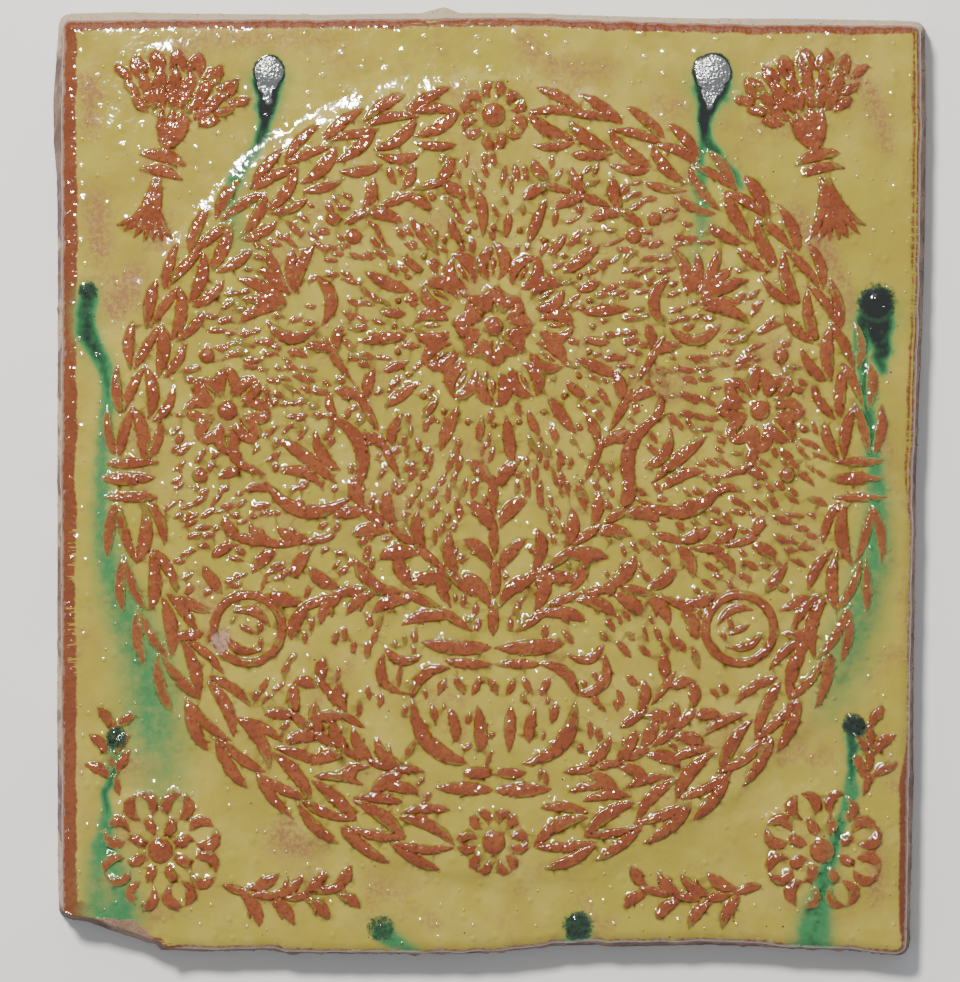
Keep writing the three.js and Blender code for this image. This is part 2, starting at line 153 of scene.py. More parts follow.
# The carving. A mark is a ridge from one point to another, bowed to its left by bow times
# its length; a dome is a round knob, and a hoop is a ring.

def mark(x0, y0, x1, y1, width, bow=0.0):
    """A ridge from one point to another."""
    return {"from": (x0, y0), "to": (x1, y1), "width": width, "bow": bow}


def mark_at(x, y, direction, length, width, bow=0.0):
    """A mark given by its middle, its direction in degrees and its length."""
    dx = cos(radians(direction)) * length / 2
    dy = sin(radians(direction)) * length / 2
    return mark(x - dx, y - dy, x + dx, y + dy, width, bow)


def dome(x, y, radius):
    """A round knob."""
    return {"from": (x, y), "radius": radius}


def hoop(x, y, radius, width):
    """A ring of that radius along its middle."""
    return {"from": (x, y), "radius": radius, "hoop": width}


def placed(marks, x, y, turn=0.0, mirrored=False):
    """The same marks turned, mirrored left to right and moved."""
    turn_cos, turn_sin = cos(radians(turn)), sin(radians(turn))
    side = -1 if mirrored else 1

    def put(point):
        across = point[0] * turn_cos - point[1] * turn_sin
        return (x + side * across, y + point[0] * turn_sin + point[1] * turn_cos)

    moved = []
    for old in marks:
        new = dict(old)
        new["from"] = put(old["from"])
        if "to" in old:
            new["to"] = put(old["to"])
            new["bow"] = side * old["bow"]
        moved.append(new)
    return moved


def both_sides(marks):
    """The marks and their mirror images."""
    return marks + placed(marks, 0, 0, mirrored=True)


def ring_of(count, first_angle, marks):
    """Copies of some marks, turned evenly about the middle from a first angle."""
    return [m for i in range(count) for m in placed(marks, 0, 0, first_angle + 360 * i / count)]


def petal(inner, spread, outer, tip, width, bow):
    """A petal along x: two ridges that bow apart between an inner and an outer distance."""
    return [mark(inner, side * spread, outer, side * tip, width, side * bow) for side in (1, -1)]


def blossom(petals, inner, outer, width):
    """A flower of outlined petals round a dome."""
    heart = dome(0, 0, inner * 0.62)
    return [heart] + ring_of(petals, 90, petal(inner, inner * 0.25, outer, 0, width, 0.2))


def spray(start, bend, end, pairs, length, width):
    """A stem along a bent line, with a pair of leaves and a pair of small hairs at each joint."""
    lean_out, hair_out, hair_width = 42, 38, 1.1

    def at(t):
        corners = zip(start, bend, end)
        return [(1 - t) ** 2 * a + 2 * t * (1 - t) * b + t * t * c for a, b, c in corners]

    marks = []
    for i in range(pairs):
        ax, ay = at((i + 0.04) / pairs)
        bx, by = at((i + 0.96) / pairs)
        mx, my = at((i + 0.6) / pairs)
        way = degrees(atan2(by - ay, bx - ax))
        leaf = length * (1 - 0.35 * i / pairs)
        marks.append(mark(ax, ay, bx, by, width * 0.75))
        for side in (-1, 1):
            lean = way + side * lean_out
            reach = leaf / 2 + width * 0.55
            x, y = mx + cos(radians(lean)) * reach, my + sin(radians(lean)) * reach
            marks.append(mark_at(x, y, lean, leaf, width, -side * 0.12))
            marks.append(mark_at(x, y, lean + side * hair_out, leaf * 0.34, hair_width))
    return marks


def leaf_bunch(arm, wreath_width):
    """One bunch of the wreath: an outer leaf, a folded pair with one point, an inner leaf."""
    middle = -wreath_width / 2
    return [
        mark_at(-arm * 0.1, middle + 6.5, 17, arm * 2.05, 3.1, 0.06),
        mark(-arm * 1.02, middle + 3.4, arm * 1.05, middle + 1.2, 2.7, 0.06),
        mark(-arm * 1.02, middle - 3.8, arm * 1.05, middle + 1, 3.4, -0.09),
        mark_at(-arm * 0.2, middle - 7, -15, arm * 1.7, 2.7, -0.07),
    ]


def wreath_quarter(start, stop, bunches, radius, width):
    """A quarter of the wreath, from a side band at angle start to the flower at angle stop."""
    marks = []
    step = (stop - start) / (bunches + 1.5)
    arm = abs(radians(step)) * radius * 0.52
    backwards = stop > start
    for i in range(bunches):
        angle = start + step * (i + 1.1)
        bunch = placed(leaf_bunch(arm, width), 0, radius)
        marks += placed(bunch, 0, 0, 90 - angle if backwards else angle - 90, backwards)
    return marks


def wreath_flower():
    """The flower at the head and at the foot of the wreath."""
    return [dome(0, 0, 3.4)] + ring_of(6, 30, petal(5.2, 1.2, 9.8, 0.2, 2.6, 0.32))


def wreath(radius, width):
    """The laurel wreath: four quarters, three bands on each side and a flower at each end."""
    upper, lower, band_spacing = 12, 10, 5
    middle = radius - width / 2
    near, far = middle - width * 0.4, middle + width * 0.42
    marks = []
    for start, stop, bunches in ((180, 90, upper), (0, 90, upper), (180, 270, lower), (360, 270, lower)):
        marks += wreath_quarter(start, stop, bunches, radius, width)
    bands = [mark(near, y, far, y, 2.6 if y else 3.6) for y in (-band_spacing, 0, band_spacing)]
    flowers = placed(wreath_flower(), 0, middle) + placed(wreath_flower(), 0, -middle, 30)
    return marks + both_sides(bands) + flowers


def urn():
    """The urn, from its foot to its rim and its two scrolled handles."""
    hatching = [mark_at(x, 30.2, 62 if x % 2 else 118, 5.4, 2) for x in range(-15, 16, 5)]
    return both_sides([
        mark(0.5, 0, 17, 0.8, 3.8), mark(1, 4.8, 9, 5, 3), mark(8.5, 7.8, 24, 26, 4, -0.2),
        mark(24, 27, 13, 36, 3.4, -0.2), mark(0.5, 36.6, 14, 37, 2.8), mark(0.5, 41.6, 21, 43, 4, -0.04),
        mark(26, 28, 33, 40, 3, -0.34), mark(32, 42, 21.5, 39.5, 2.6, 0.25),
        mark(4.2, 11, 5, 24, 3.2), mark(10.4, 14, 12.4, 24, 3, 0.06), mark(17, 19, 18, 25, 2.2, 0.05),
    ]) + hatching


def tulip(size):
    """A tulip seen from the side: petals bowed round a middle one."""
    return both_sides([
        mark(0.5, -size * 0.5, size * 0.6, size * 0.5, 3.6, -0.26),
        mark(size * 0.17, -size * 0.16, size * 0.34, size * 0.42, 3, 0.16),
        mark(size * 0.66, size * 0.3, size * 0.86, size * 0.62, 2.4, 0.2),
    ]) + [mark(0, -size * 0.24, 0, size * 0.7, 3.4)]


def fruit(size):
    """A round ribbed fruit with a crown of three leaves."""
    away = size * 0.9
    crown = [
        mark_at(-sin(radians(lean)) * away, cos(radians(lean)) * away, 90 + lean, size * 0.5, 3)
        for lean in (-30, 0, 30)
    ]
    ribs = both_sides([mark(size * 0.17, -size * 0.28, size * 0.17, size * 0.28, 2.4, -0.2)])
    return [hoop(0, 0, size * 0.5, 3), mark(0, -size * 0.16, 0, size * 0.16, 1.4)] + crown + ribs


def carnation(size):
    """A carnation: notched petals spread over a cup."""
    marks = both_sides([mark(0.4, -size * 0.46, size * 0.36, -size * 0.05, 3.2, -0.28)])
    for i in range(-3, 4):
        tip = size * (0.66 if i % 2 else 0.56)
        marks += placed([mark(0, size * 0.12, 0, tip, 3.2, 0.04 * i)], 0, -size * 0.1, -i * 21)
    return marks


def sunflower():
    """The great flower at the head of the plant, with rays round it."""
    return (
        blossom(8, 4.4, 11, 3.4)
        + ring_of(12, 90, petal(13.5, 1.6, 23.5, 0.3, 3.3, 0.24))
        + ring_of(12, 97.5, [mark(26.5, 0, 40, 0, 3.2)])
        + ring_of(12, 112.5, [mark(26.5, 0, 34, 0, 2.4)])
        + ring_of(12, 90, [mark(15.6, 0, 20.4, 0, 1.2)])
        + ring_of(24, 90, [dome(29, 0, 0.8)])
    )


def plant(radius):
    """The flowering plant that fills the wreath, on a disc of that radius."""
    base = -radius + 6
    heart = radius * 0.46
    marks = placed(urn(), 0, base) + placed(sunflower(), 0, heart)
    marks += spray((0, base + 45), (0.6, -24), (0, heart - 43), 4, 13, 3.6)
    marks += both_sides(
        spray((6, base + 46), (30, base + 68), (59, base + 52), 5, 13, 3.6)
        + placed(fruit(20), 72, base + 47, -66)
        + spray((5, base + 56), (24, -18), (40, -8), 4, 12.5, 3.6)
        + placed(tulip(22), 50, 2, -50)
        + spray((46, -16), (62, -24), (78, -17), 3, 10, 3.2)
        + spray((66, 1), (72, 0), (77, 6), 1, 6, 3)
        + placed(blossom(8, 4.6, 12.5, 3.2), 78, 20)
        + spray((27, 0), (35, 20), (50, 42), 3, 9.5, 3)
        + placed(carnation(27), 60, 53, -46)
        + spray((44, 74), (30, 84), (12, 87), 3, 9.5, 3.2)
        + spray((20, base + 5), (44, base + 6), (60, base + 24), 5, 11, 3.4)
        + spray((37, base + 18), (46, base + 22), (53, base + 34), 2, 9, 3)
        + [mark(22, base - 0.4, 33, base + 1, 2.8, 0.08), dome(41, 71, 2.2), dome(47, 76, 2),
           dome(84, 36, 2.2), dome(86, 1, 2.2), dome(34, -32, 2), dome(57, -8, 1.8)]
    )
    return marks


def sheaf():
    """A sheaf with full ears above its binding and spread straws below, for an upper corner."""
    marks = [mark(-6.5, -5, 6.5, -5, 3.6, 0.12), mark(-6, -9.4, 6, -9.4, 3, 0.12)]
    for i in range(-3, 4):
        marks += placed([mark(0, -29, 0, -10.8, 3.3 - abs(i) * 0.2, 0.05 * i)], -i * 1.1, 0, i * 8)
        marks += placed([mark(0, -3.6, 0, 10.5, 2.6, -0.03 * i)], 0, 0, -i * 9)
        for row in range(3):
            ear = [mark_at(side * 2, 13.8 + row * 5.4, 90 - side * 24, 6.4, 2.7) for side in (-1, 1)]
            marks += placed(ear, 0, 0, -i * 13.5)
    return marks


def corner_flower():
    """A double rosette with a sprig along each side of its corner, for a lower corner."""
    return (
        [dome(0, 0, 3.6)]
        + ring_of(8, 22.5, [mark(5, 0, 10, 0, 3)] + petal(10.5, 2, 17.5, 0.6, 3, 0.34))
        + spray((18, -10), (34, -17), (54, -11), 4, 10.5, 3.2)
        + spray((-12, 16), (-16, 26), (-13, 38), 3, 8.5, 2.8)
    )


class Layout:
    """Where things lie on the face, in millimetres from its nominal middle."""

    medallion = (0.7, 1.5)
    sheaf_inset = (30, 37)
    flower_inset = (28, 29)
    pad_slope = 3.0

    def __init__(self, settings):
        self.width = settings.face_width / MM
        self.height = settings.face_height / MM
        self.field = settings.thickness / MM
        self.edge_round = settings.edge_round / MM
        self.rise = settings.medallion_rise / MM
        self.shoulder = settings.shoulder_width / MM
        self.pad_rise = settings.pad_rise / MM
        self.ridge = settings.ridge_height / MM
        self.wreath_width = settings.wreath_width / MM
        self.swell = settings.unevenness / MM
        self.wreath_radius = min(self.width, self.height) / 2 - settings.field_margin / MM
        self.sheaf = (self.width / 2 - self.sheaf_inset[0], self.height / 2 - self.sheaf_inset[1])
        self.flower = (self.width / 2 - self.flower_inset[0], -self.height / 2 + self.flower_inset[1])

    def grounds(self):
        """The raised grounds: x, y, radius across, radius along, turn, rise, slope."""
        yield (*self.medallion, self.wreath_radius, self.wreath_radius, 0, self.rise, self.shoulder)
        for side in (1, -1):
            for (x, y), across, along, turn in ((self.sheaf, 17, 27, 12), (self.flower, 17.5, 17.5, 0)):
                yield side * x, y, across, along, side * turn, self.pad_rise, self.pad_slope

    def carving(self):
        """All the marks on the face."""
        marks = wreath(self.wreath_radius, self.wreath_width)
        marks += plant(self.wreath_radius - self.wreath_width)
        marks = placed(marks, *self.medallion)
        for side in (1, -1):
            marks += placed(sheaf(), side * self.sheaf[0], self.sheaf[1], -14, side > 0)
            marks += placed(corner_flower(), side * self.flower[0], self.flower[1], 0, side > 0)
        return marks


HOOP_SIDES = 32


def circle(count):
    """Points evenly round the unit circle."""
    turn = np.linspace(0, 2 * pi, count + 1)[:-1]
    return np.stack([np.cos(turn), np.sin(turn)], 1)


def grid(low, high, step, staggered=False):
    """Points in rows over a box, every other row half a step aside where it is staggered."""
    x, y = np.meshgrid(np.arange(low[0], high[0], step[0]), np.arange(low[1], high[1], step[1]))
    if staggered:
        x[1::2] += step[0] / 2
    return np.stack([x.ravel(), y.ravel()], 1)


def hand_cut(marks, rng):
    """The strokes that the marks stand for, each a little off as a carver's hand is."""
    end_slip, end_slip_share, bow_slip = 0.3, 0.025, 0.018
    knot_spacing, finest = 1.05, 0.16
    strokes = []
    for m in marks:
        x0, y0 = m["from"]
        if "to" in m:
            dx, dy = m["to"][0] - x0, m["to"][1] - y0
            length = hypot(dx, dy)
            slip = rng.normal(0, min(end_slip, length * end_slip_share), 4)
            x0, y0 = x0 + slip[0], y0 + slip[1]
            dx, dy = dx + slip[2], dy + slip[3]
            bow = m["bow"] + rng.normal(0, bow_slip)
            t = np.linspace(0, 1, max(5, ceil(length / knot_spacing)))
            aside = bow * length * 4 * t * (1 - t)
            line = np.stack([x0 + dx * t - dy / length * aside, y0 + dy * t + dx / length * aside], 1)
            peak = t ** rng.uniform(0.72, 1.38)
            full = m["width"] / 2 * rng.uniform(0.98, 1.2)
            radii = full * (1 - np.abs(2 * peak - 1) ** rng.uniform(1.75, 2.4)) ** 0.74
            strokes.append(Stroke(line, np.maximum(radii, finest), rng.uniform(0.86, 1.1)))
        elif "hoop" in m:
            line = circle(HOOP_SIDES)
            line = np.vstack([line, line[:1]]) * m["radius"] + (x0, y0)
            strokes.append(Stroke(line, np.full(len(line), m["hoop"] * 0.4), 1.0))
        else:
            line = np.array([[x0 - 0.05, y0], [x0 + 0.05, y0]])
            strokes.append(Stroke(line, np.full(2, m["radius"]), 1.2))
    return strokes


class Nearby:
    """Finds which of many points lie in a box, by sorting them into cells."""

    cell = 4.0
    rows = 200

    def __init__(self, points):
        columns, rows = self.cells(points).T
        keys = columns * self.rows + rows
        self.order = np.argsort(keys, kind="stable")
        self.keys = keys[self.order]

    def cells(self, points):
        """The cell that each point lies in, numbered from the far corner of a wide square."""
        return np.floor(points / self.cell).astype(int) + self.rows // 2

    def box(self, low, high):
        """The points that lie in the cells which a box touches."""
        (x0, y0), (x1, y1) = self.cells(np.array((low, high)))
        columns = np.arange(x0, x1 + 1) * self.rows
        starts = np.searchsorted(self.keys, columns + y0, "left")
        stops = np.searchsorted(self.keys, columns + y1, "right")
        return np.concatenate([self.order[a:b] for a, b in zip(starts, stops)])


def inside_distance(points, line, radii):
    """How far each point lies inside a stroke's outline, below 0 outside it, and how wide
    the stroke is there."""
    a, b = line[:-1], line[1:]
    d = b - a
    along = ((points[:, None, :] - a) * d).sum(2) / np.maximum((d * d).sum(1), 1e-9)
    along = np.clip(along, 0, 1)
    gap = points[:, None, :] - a - d * along[..., None]
    local = radii[:-1] + (radii[1:] - radii[:-1]) * along
    inside = local - np.hypot(gap[..., 0], gap[..., 1])
    best = inside.argmax(1)
    rows = np.arange(len(points))
    return inside[rows, best], local[rows, best]


def smooth(low, high, value):
    """0 below low, 1 above high, and smooth between."""
    t = np.clip((value - low) / (high - low), 0, 1)
    return t * t * (3 - 2 * t)


def ripple(points, wavelength, seed):
    """A smooth uneven field from about -1 to 1, the sum of a few long waves."""
    waves, usual_peak = 9, 4.2
    rng = np.random.default_rng(seed)
    turns = rng.uniform(0, 2 * pi, waves)
    phases = rng.uniform(0, 2 * pi, waves)
    stretches = rng.uniform(0.7, 1.5, waves)
    total = np.zeros(len(points))
    for turn, phase, stretch in zip(turns, phases, stretches):
        way = points[:, 0] * cos(turn) + points[:, 1] * sin(turn)
        total += np.sin(way * 2 * pi / (wavelength * stretch) + phase)
    return total / usual_peak


def ripples(points, waves):
    """The sum of a few ripples, each given by its height, its wavelength and its seed."""
    return sum(height * ripple(points, length, seed) for height, length, seed in waves)


# What is uneven on the tile, as the height, the wavelength and the seed of each ripple
RAGGED_STROKES = ((0.2, 2.8, 61), (0.13, 1.4, 62))
ROUGH_BREAK = ((0.1, 4.5, 91), (0.07, 1.4, 92))
WAVY_BORDER = ((0.07, 26, 81), (0.06, 9, 82))
UNEVEN_GROUNDS = ((0.5, 40, 7), (0.5, 13, 6))
PRESSED_FIELD = ((1.0, 34, 3), (0.35, 11, 4))
TRIMMED_RIM = ((0.16, 9, 31), (0.1, 27, 32))

# The copper drops: x, y, radius and strength. Above CRUSTED a drop has a crystalline crust.
CRUSTED = 0.95
DROPS = (
    (-65.2, 121, 4.7, 1), (64.7, 120.5, 5.9, 1), (-118.2, 56.6, 2.9, 0.66), (112.9, 53, 5.3, 0.88),
    (-110, -74.2, 3.1, 0.64), (106.4, -70.8, 3.5, 0.76), (-32.4, -130.4, 4, 0.5),
    (25.3, -129.6, 4.3, 0.7),
)

# Their runs, as the tile stood in the kiln: x, y, half width and strength
COPPER = (
    ((-65.3, 118.6, 4.9, 1), (-65.5, 115.2, 3.9, 1), (-65.7, 111.8, 2.9, 0.92),
     (-66, 108.2, 2.1, 0.9), (-66.6, 104.6, 1.8, 0.78), (-67.8, 101, 1.8, 0.62),
     (-69.8, 96.8, 1.8, 0.56), (-73.6, 92, 2.1, 0.56), (-76.6, 86, 2.8, 0.38),
     (-75.5, 76, 4.4, 0.22), (-71, 64, 5, 0.1)),
    ((64.7, 117.4, 6, 1), (64.2, 114.2, 4.3, 1), (63.4, 111, 2.9, 0.94), (62.5, 107.4, 2.1, 0.92),
     (62.2, 103.8, 1.8, 0.82), (63, 100.4, 1.8, 0.68), (65.6, 96.6, 1.8, 0.62),
     (70.2, 91.6, 1.8, 0.56), (73.4, 86.4, 1.7, 0.34)),
    ((62.4, 102, 1.6, 0.5), (60.8, 93, 1.8, 0.44), (61.4, 84, 3, 0.42), (62.2, 74, 3.4, 0.26),
     (57, 60, 4.4, 0.12)),
    ((-118.3, 56.5, 3, 0.66), (-119.2, 48.6, 3.2, 0.76), (-118, 42, 3, 0.72),
     (-114.4, 36.6, 2.8, 0.64), (-112.2, 30.8, 2.4, 0.52), (-112.8, 20, 3, 0.38),
     (-114.2, 6, 3.4, 0.36), (-114.4, -8, 4, 0.36), (-112.4, -23, 5.8, 0.38),
     (-108, -36, 8.2, 0.36), (-101, -52, 11, 0.35), (-99, -72, 12, 0.34), (-96, -90, 10, 0.22)),
    ((113, 50, 5.6, 0.87), (113.6, 45.4, 4.6, 0.87), (114, 40.6, 3.1, 0.84),
     (114.3, 36, 2.1, 0.66), (114.5, 32, 1.7, 0.3)),
    ((110.4, 49, 3.6, 0.8), (108.4, 42.6, 2.8, 0.64), (108.2, 36.4, 2.5, 0.56),
     (110.2, 29.6, 2.5, 0.58), (110.2, 18.6, 2.5, 0.54), (112.4, 6, 3, 0.46),
     (113.4, -6, 4.8, 0.38), (111.5, -26, 8, 0.34), (105, -48, 10, 0.31), (99, -66, 9, 0.2)),
    ((-110.2, -76, 2, 0.66), (-110.8, -82.6, 1.5, 0.66), (-111.4, -87.4, 1.4, 0.56),
     (-113.8, -91.6, 1.6, 0.5), (-112.2, -97, 2.2, 0.48), (-113.4, -103, 3.4, 0.46),
     (-113.4, -110, 6.2, 0.46), (-111.6, -119, 8.4, 0.46), (-110.8, -127, 9.4, 0.46)),
    ((106.2, -73, 2.2, 0.72), (105.8, -79, 1.5, 0.66), (105.4, -84.4, 1.4, 0.58),
     (105.6, -89.6, 3, 0.46), (104.6, -95, 2.8, 0.46), (101.4, -102, 1.9, 0.6),
     (99.2, -110, 2.6, 0.54), (96.8, -119, 4, 0.48), (94.8, -129, 6.2, 0.46),
     (94, -136, 7.6, 0.46)),
    ((-32.2, -131, 3.6, 0.5), (-28, -134.4, 3.2, 0.42), (-22, -137, 2.4, 0.3)),
    ((25.4, -130, 3.6, 0.68), (25.6, -136, 3.2, 0.56)),
)

# Where slip and glaze ran thin and the body shows through: x, y, half width and strength
THIN = (
    ((101, 126.5, 1.5, 0.4), (111.8, 114.6, 1.8, 0.7), (116.8, 96, 1.2, 0.5)),
    ((87.5, 80.3, 1.6, 0.8), (96, 70.6, 1.8, 0.9), (102.1, 60.7, 1.3, 0.6)),
    ((-116, 84, 2.6, 0.8), (-114.5, 67.5, 2.2, 0.9)),
    ((-99, 76.5, 2.8, 0.55), (-94, 69, 2.2, 0.5)),
    ((-104, 62.5, 2.2, 0.9), (-110.5, 49, 1.6, 0.9)),
    ((52, 110, 2.6, 0.6), (56, 111.5, 1.8, 0.5)),
    ((-113, -115, 2.2, 0.95), (-112, -123, 2, 0.8)),
    ((-108, -81.5, 2, 0.7), (-101, -82.5, 2.6, 0.6)),
    ((-63, -103, 3.4, 0.6), (-58, -107.5, 2, 0.5)),
    ((-96, 129, 2.2, 0.4), (-70, 131, 2, 0.6), (-44, 130.5, 1.6, 0.3)),
    ((-34, -118, 3, 0.5), (-28, -119.5, 2.4, 0.4)),
    ((20, 121, 3.4, 0.4), (34, 122, 2.6, 0.5)),
    ((112, -104, 2.4, 0.6), (113, -122, 2, 0.6)),
    ((-118, 118, 1.4, 0.8), (-117.6, 104, 1.6, 0.7)),
)


def soft_lines(lines):
    """The runs with their points closer together and smoothed, so that they bend softly."""
    closer, reach = 6, 3
    weights = np.ones(2 * reach + 1) / (2 * reach + 1)
    for run in lines:
        points = np.array(run)
        fine = np.linspace(0, len(points) - 1, len(points) * closer)
        knots = []
        for column in points.T:
            dense = np.interp(fine, np.arange(len(points)), column)
            knots.append(np.convolve(np.pad(dense, reach, mode="edge"), weights, "valid"))
        yield Run(np.stack(knots[:2], 1), knots[2], knots[3])


class Face:
    """The shape of the glazed face as a height over every point of it."""

    # The facet's inner corners, from the left to the right, and its slope in degrees
    chip_corners = ((-118.4, -127.3), (-104.9, -127.7), (-96.6, -135.2))
    chip_slope = 35.0
    scar = (-79.3, -45.7)
    scar_radii = (2.7, 3.3)
    foot = 0.26
    crest = 0.42
    # How wide the body shows along the left, right, top and bottom rims, the right one varying
    bands = (4.7, 2.7, 3.0, 1.1)
    rim_reach = 4.0
    drop_rise = 0.8
    tick_height = 0.5
    # How sharply the sloping edge of a raised ground bends at its head and its foot
    shoulder_bend = 2.3

    def __init__(self, layout, outline):
        self.layout = layout
        self.outline = outline
        self.strokes = hand_cut(layout.carving(), np.random.default_rng(20))
        self.add_ticks(np.random.default_rng(21))
        self.runs = list(soft_lines(COPPER))
        self.thin = list(soft_lines(THIN))

    def add_ticks(self, rng):
        """Short cuts that fill the picture's ground between the plant's ridges."""
        spacing, jitter, least_room = 4.1, 1.3, 1.35
        reach = self.layout.wreath_radius - self.layout.wreath_width - 1
        spots = grid((-reach, -reach), (reach, reach), (spacing, spacing * ROW_SHARE), staggered=True)
        spots = spots[np.hypot(*spots.T) < reach] + self.layout.medallion
        spots += rng.uniform(-jitter, jitter, spots.shape)
        depth, _ = self.ridges(spots)
        heart = np.add(self.layout.medallion, (0, 0.46 * (reach + 1)))
        swirl = 0.5 * ripple(spots, 55, 51)
        kept = 0.95 - 0.6 * smooth(0, -70, spots[:, 1])
        for spot, room, sway, chance in zip(spots, -depth, swirl, kept):
            if room < least_room or rng.random() > chance:
                continue
            dx, dy = spot - heart
            turn = atan2(dy, dx) + sway + rng.normal(0, 0.22)
            half = rng.uniform(0.55, 1.35) * min(room, 3.0) * 0.8
            t = np.linspace(-half, half, 6)
            radii = rng.uniform(0.5, 1.05) * (1 - np.abs(t / half) ** rng.uniform(1.6, 3.2)) ** 0.6
            bend = rng.normal(0, 0.09) * half * (1 - (t / half) ** 2)
            way = np.array((cos(turn), sin(turn)))
            aside = np.array((-sin(turn), cos(turn)))
            line = spot + t[:, None] * way + bend[:, None] * aside
            self.strokes.append(Stroke(line, np.maximum(radii, 0.13), self.tick_height))

    def edge_distance(self, points):
        """Distance to the rim, measured only near it."""
        reach = 16.0
        lay = self.layout
        margin = np.array((lay.width, lay.height)) / 2 - np.abs(points)
        near = np.nonzero(margin.min(1) < reach)[0]
        result = np.full(len(points), reach)
        closed = np.vstack([self.outline, self.outline[:1]])
        for part in np.array_split(near, max(1, len(near) // 3000)):
            if len(part):
                gap = -inside_distance(points[part], closed, np.zeros(len(closed)))[0]
                result[part] = np.minimum(gap, reach)
        return result

    def ridges(self, points):
        """How far inside a stroke each point lies, and how high the strokes rise there."""
        depth = np.full(len(points), -4.0)
        height = np.zeros(len(points))
        jag = ripples(points, RAGGED_STROKES)
        cells = Nearby(points)
        for stroke in self.strokes:
            margin = stroke.radii.max() + 3.0
            near = cells.box(stroke.line.min(0) - margin, stroke.line.max(0) + margin)
            if len(near):
                d, local = inside_distance(points[near], stroke.line, stroke.radii)
                d = d + jag[near]
                depth[near] = np.maximum(depth[near], d)
                full = stroke.radii.max()
                taper = np.clip(local / full, 0.1, 1) ** 0.35
                body = 0.9 * smooth(-self.foot, self.crest, d) * taper + 0.05 * np.clip(d, 0, 1.6)
                if len(stroke.line) == 2:
                    crown = np.sqrt(1 - (1 - np.clip(d / full, 0, 1)) ** 2)
                    body = 0.3 * smooth(-self.foot, 0.1, d) + 0.8 * crown
                height[near] = np.maximum(height[near], stroke.height * self.layout.ridge * body)
        return depth, height

    def soft_amount(self, points, runs, core_share, halo_share):
        """How much of what ran along some lines lies at each point, from 0 to 1."""
        amount = np.zeros(len(points))
        drift = np.stack([ripple(points, 7, 71), ripple(points, 7, 72)], 1)
        warped = points + 0.45 * drift
        for run in runs:
            for i in range(len(run.line) - 1):
                width, strength = run.widths[i], run.strengths[i]
                margin = width * 2.4 + 5
                low, high = run.line[i:i + 2].min(0) - margin, run.line[i:i + 2].max(0) + margin
                near = np.nonzero(((warped > low) & (warped < high)).all(1))[0]
                if len(near):
                    gap = -inside_distance(warped[near], run.line[i:i + 2], np.zeros(2))[0]
                    # A strong run has a crisp edge, and a weak one fades
                    crisp = strength ** 4
                    core = core_share * smooth(1.75 - 0.6 * crisp, 0.55 * crisp, gap / width)
                    halo = halo_share * np.exp(-((gap / (1.1 * width + 1.6)) ** 2))
                    amount[near] = np.maximum(amount[near], strength * np.maximum(core, halo))
        return amount

    def drops(self, points):
        """How much copper the drops left at each point, and how high they stand there."""
        amount = np.zeros(len(points))
        height = np.zeros(len(points))
        wander = 1 + 0.05 * ripple(points, 6, 75)
        for x, y, radius, strength in DROPS:
            away = np.hypot(points[:, 0] - x, points[:, 1] - y) / radius * wander
            blur = 0.1 if strength > CRUSTED else 0.36
            amount = np.maximum(amount, strength * smooth(1 + blur, 1 - blur, away))
            height = np.maximum(height, self.drop_rise * strength ** 2 * np.clip(1 - away ** 2, 0, 1))
        return amount, height

    def chip_cut(self, points):
        """How far beyond the edge of the broken facet each point lies, below 0 on the glaze."""
        corners = np.array(self.chip_corners)
        beyond = []
        for a, b in zip(corners[:-1], corners[1:]):
            way = (b - a) / np.hypot(*(b - a))
            beyond.append((points - a) @ (way[1], -way[0]))
        return np.minimum(*beyond) + ripples(points, ROUGH_BREAK)

    def border(self, points, rim):
        """How far inside the rim's red band each point lies, below 0 outside it."""
        lay = self.layout
        x, y = points.T
        gaps = (x + lay.width / 2, lay.width / 2 - x, lay.height / 2 - y, y + lay.height / 2)
        shares = [np.exp(-np.clip(gap, 0, 60) / 3) for gap in gaps]
        widths = list(self.bands)
        widths[1] = 0.9 + 1.9 * smooth(-74, -88, y) + 1.8 * smooth(-20, 8, y)
        band = sum(share * width for share, width in zip(shares, widths)) / sum(shares)
        within = band * (1 + ripples(points, WAVY_BORDER)) - rim
        # A pale streak, a painted highlight, runs along the middle of the right band's upper part
        highlight_streak = shares[1] / sum(shares) * smooth(0.8, 0.3, np.abs(rim - 1.5)) * smooth(-20, 0, y)
        return within * (1 - 1.4 * highlight_streak)

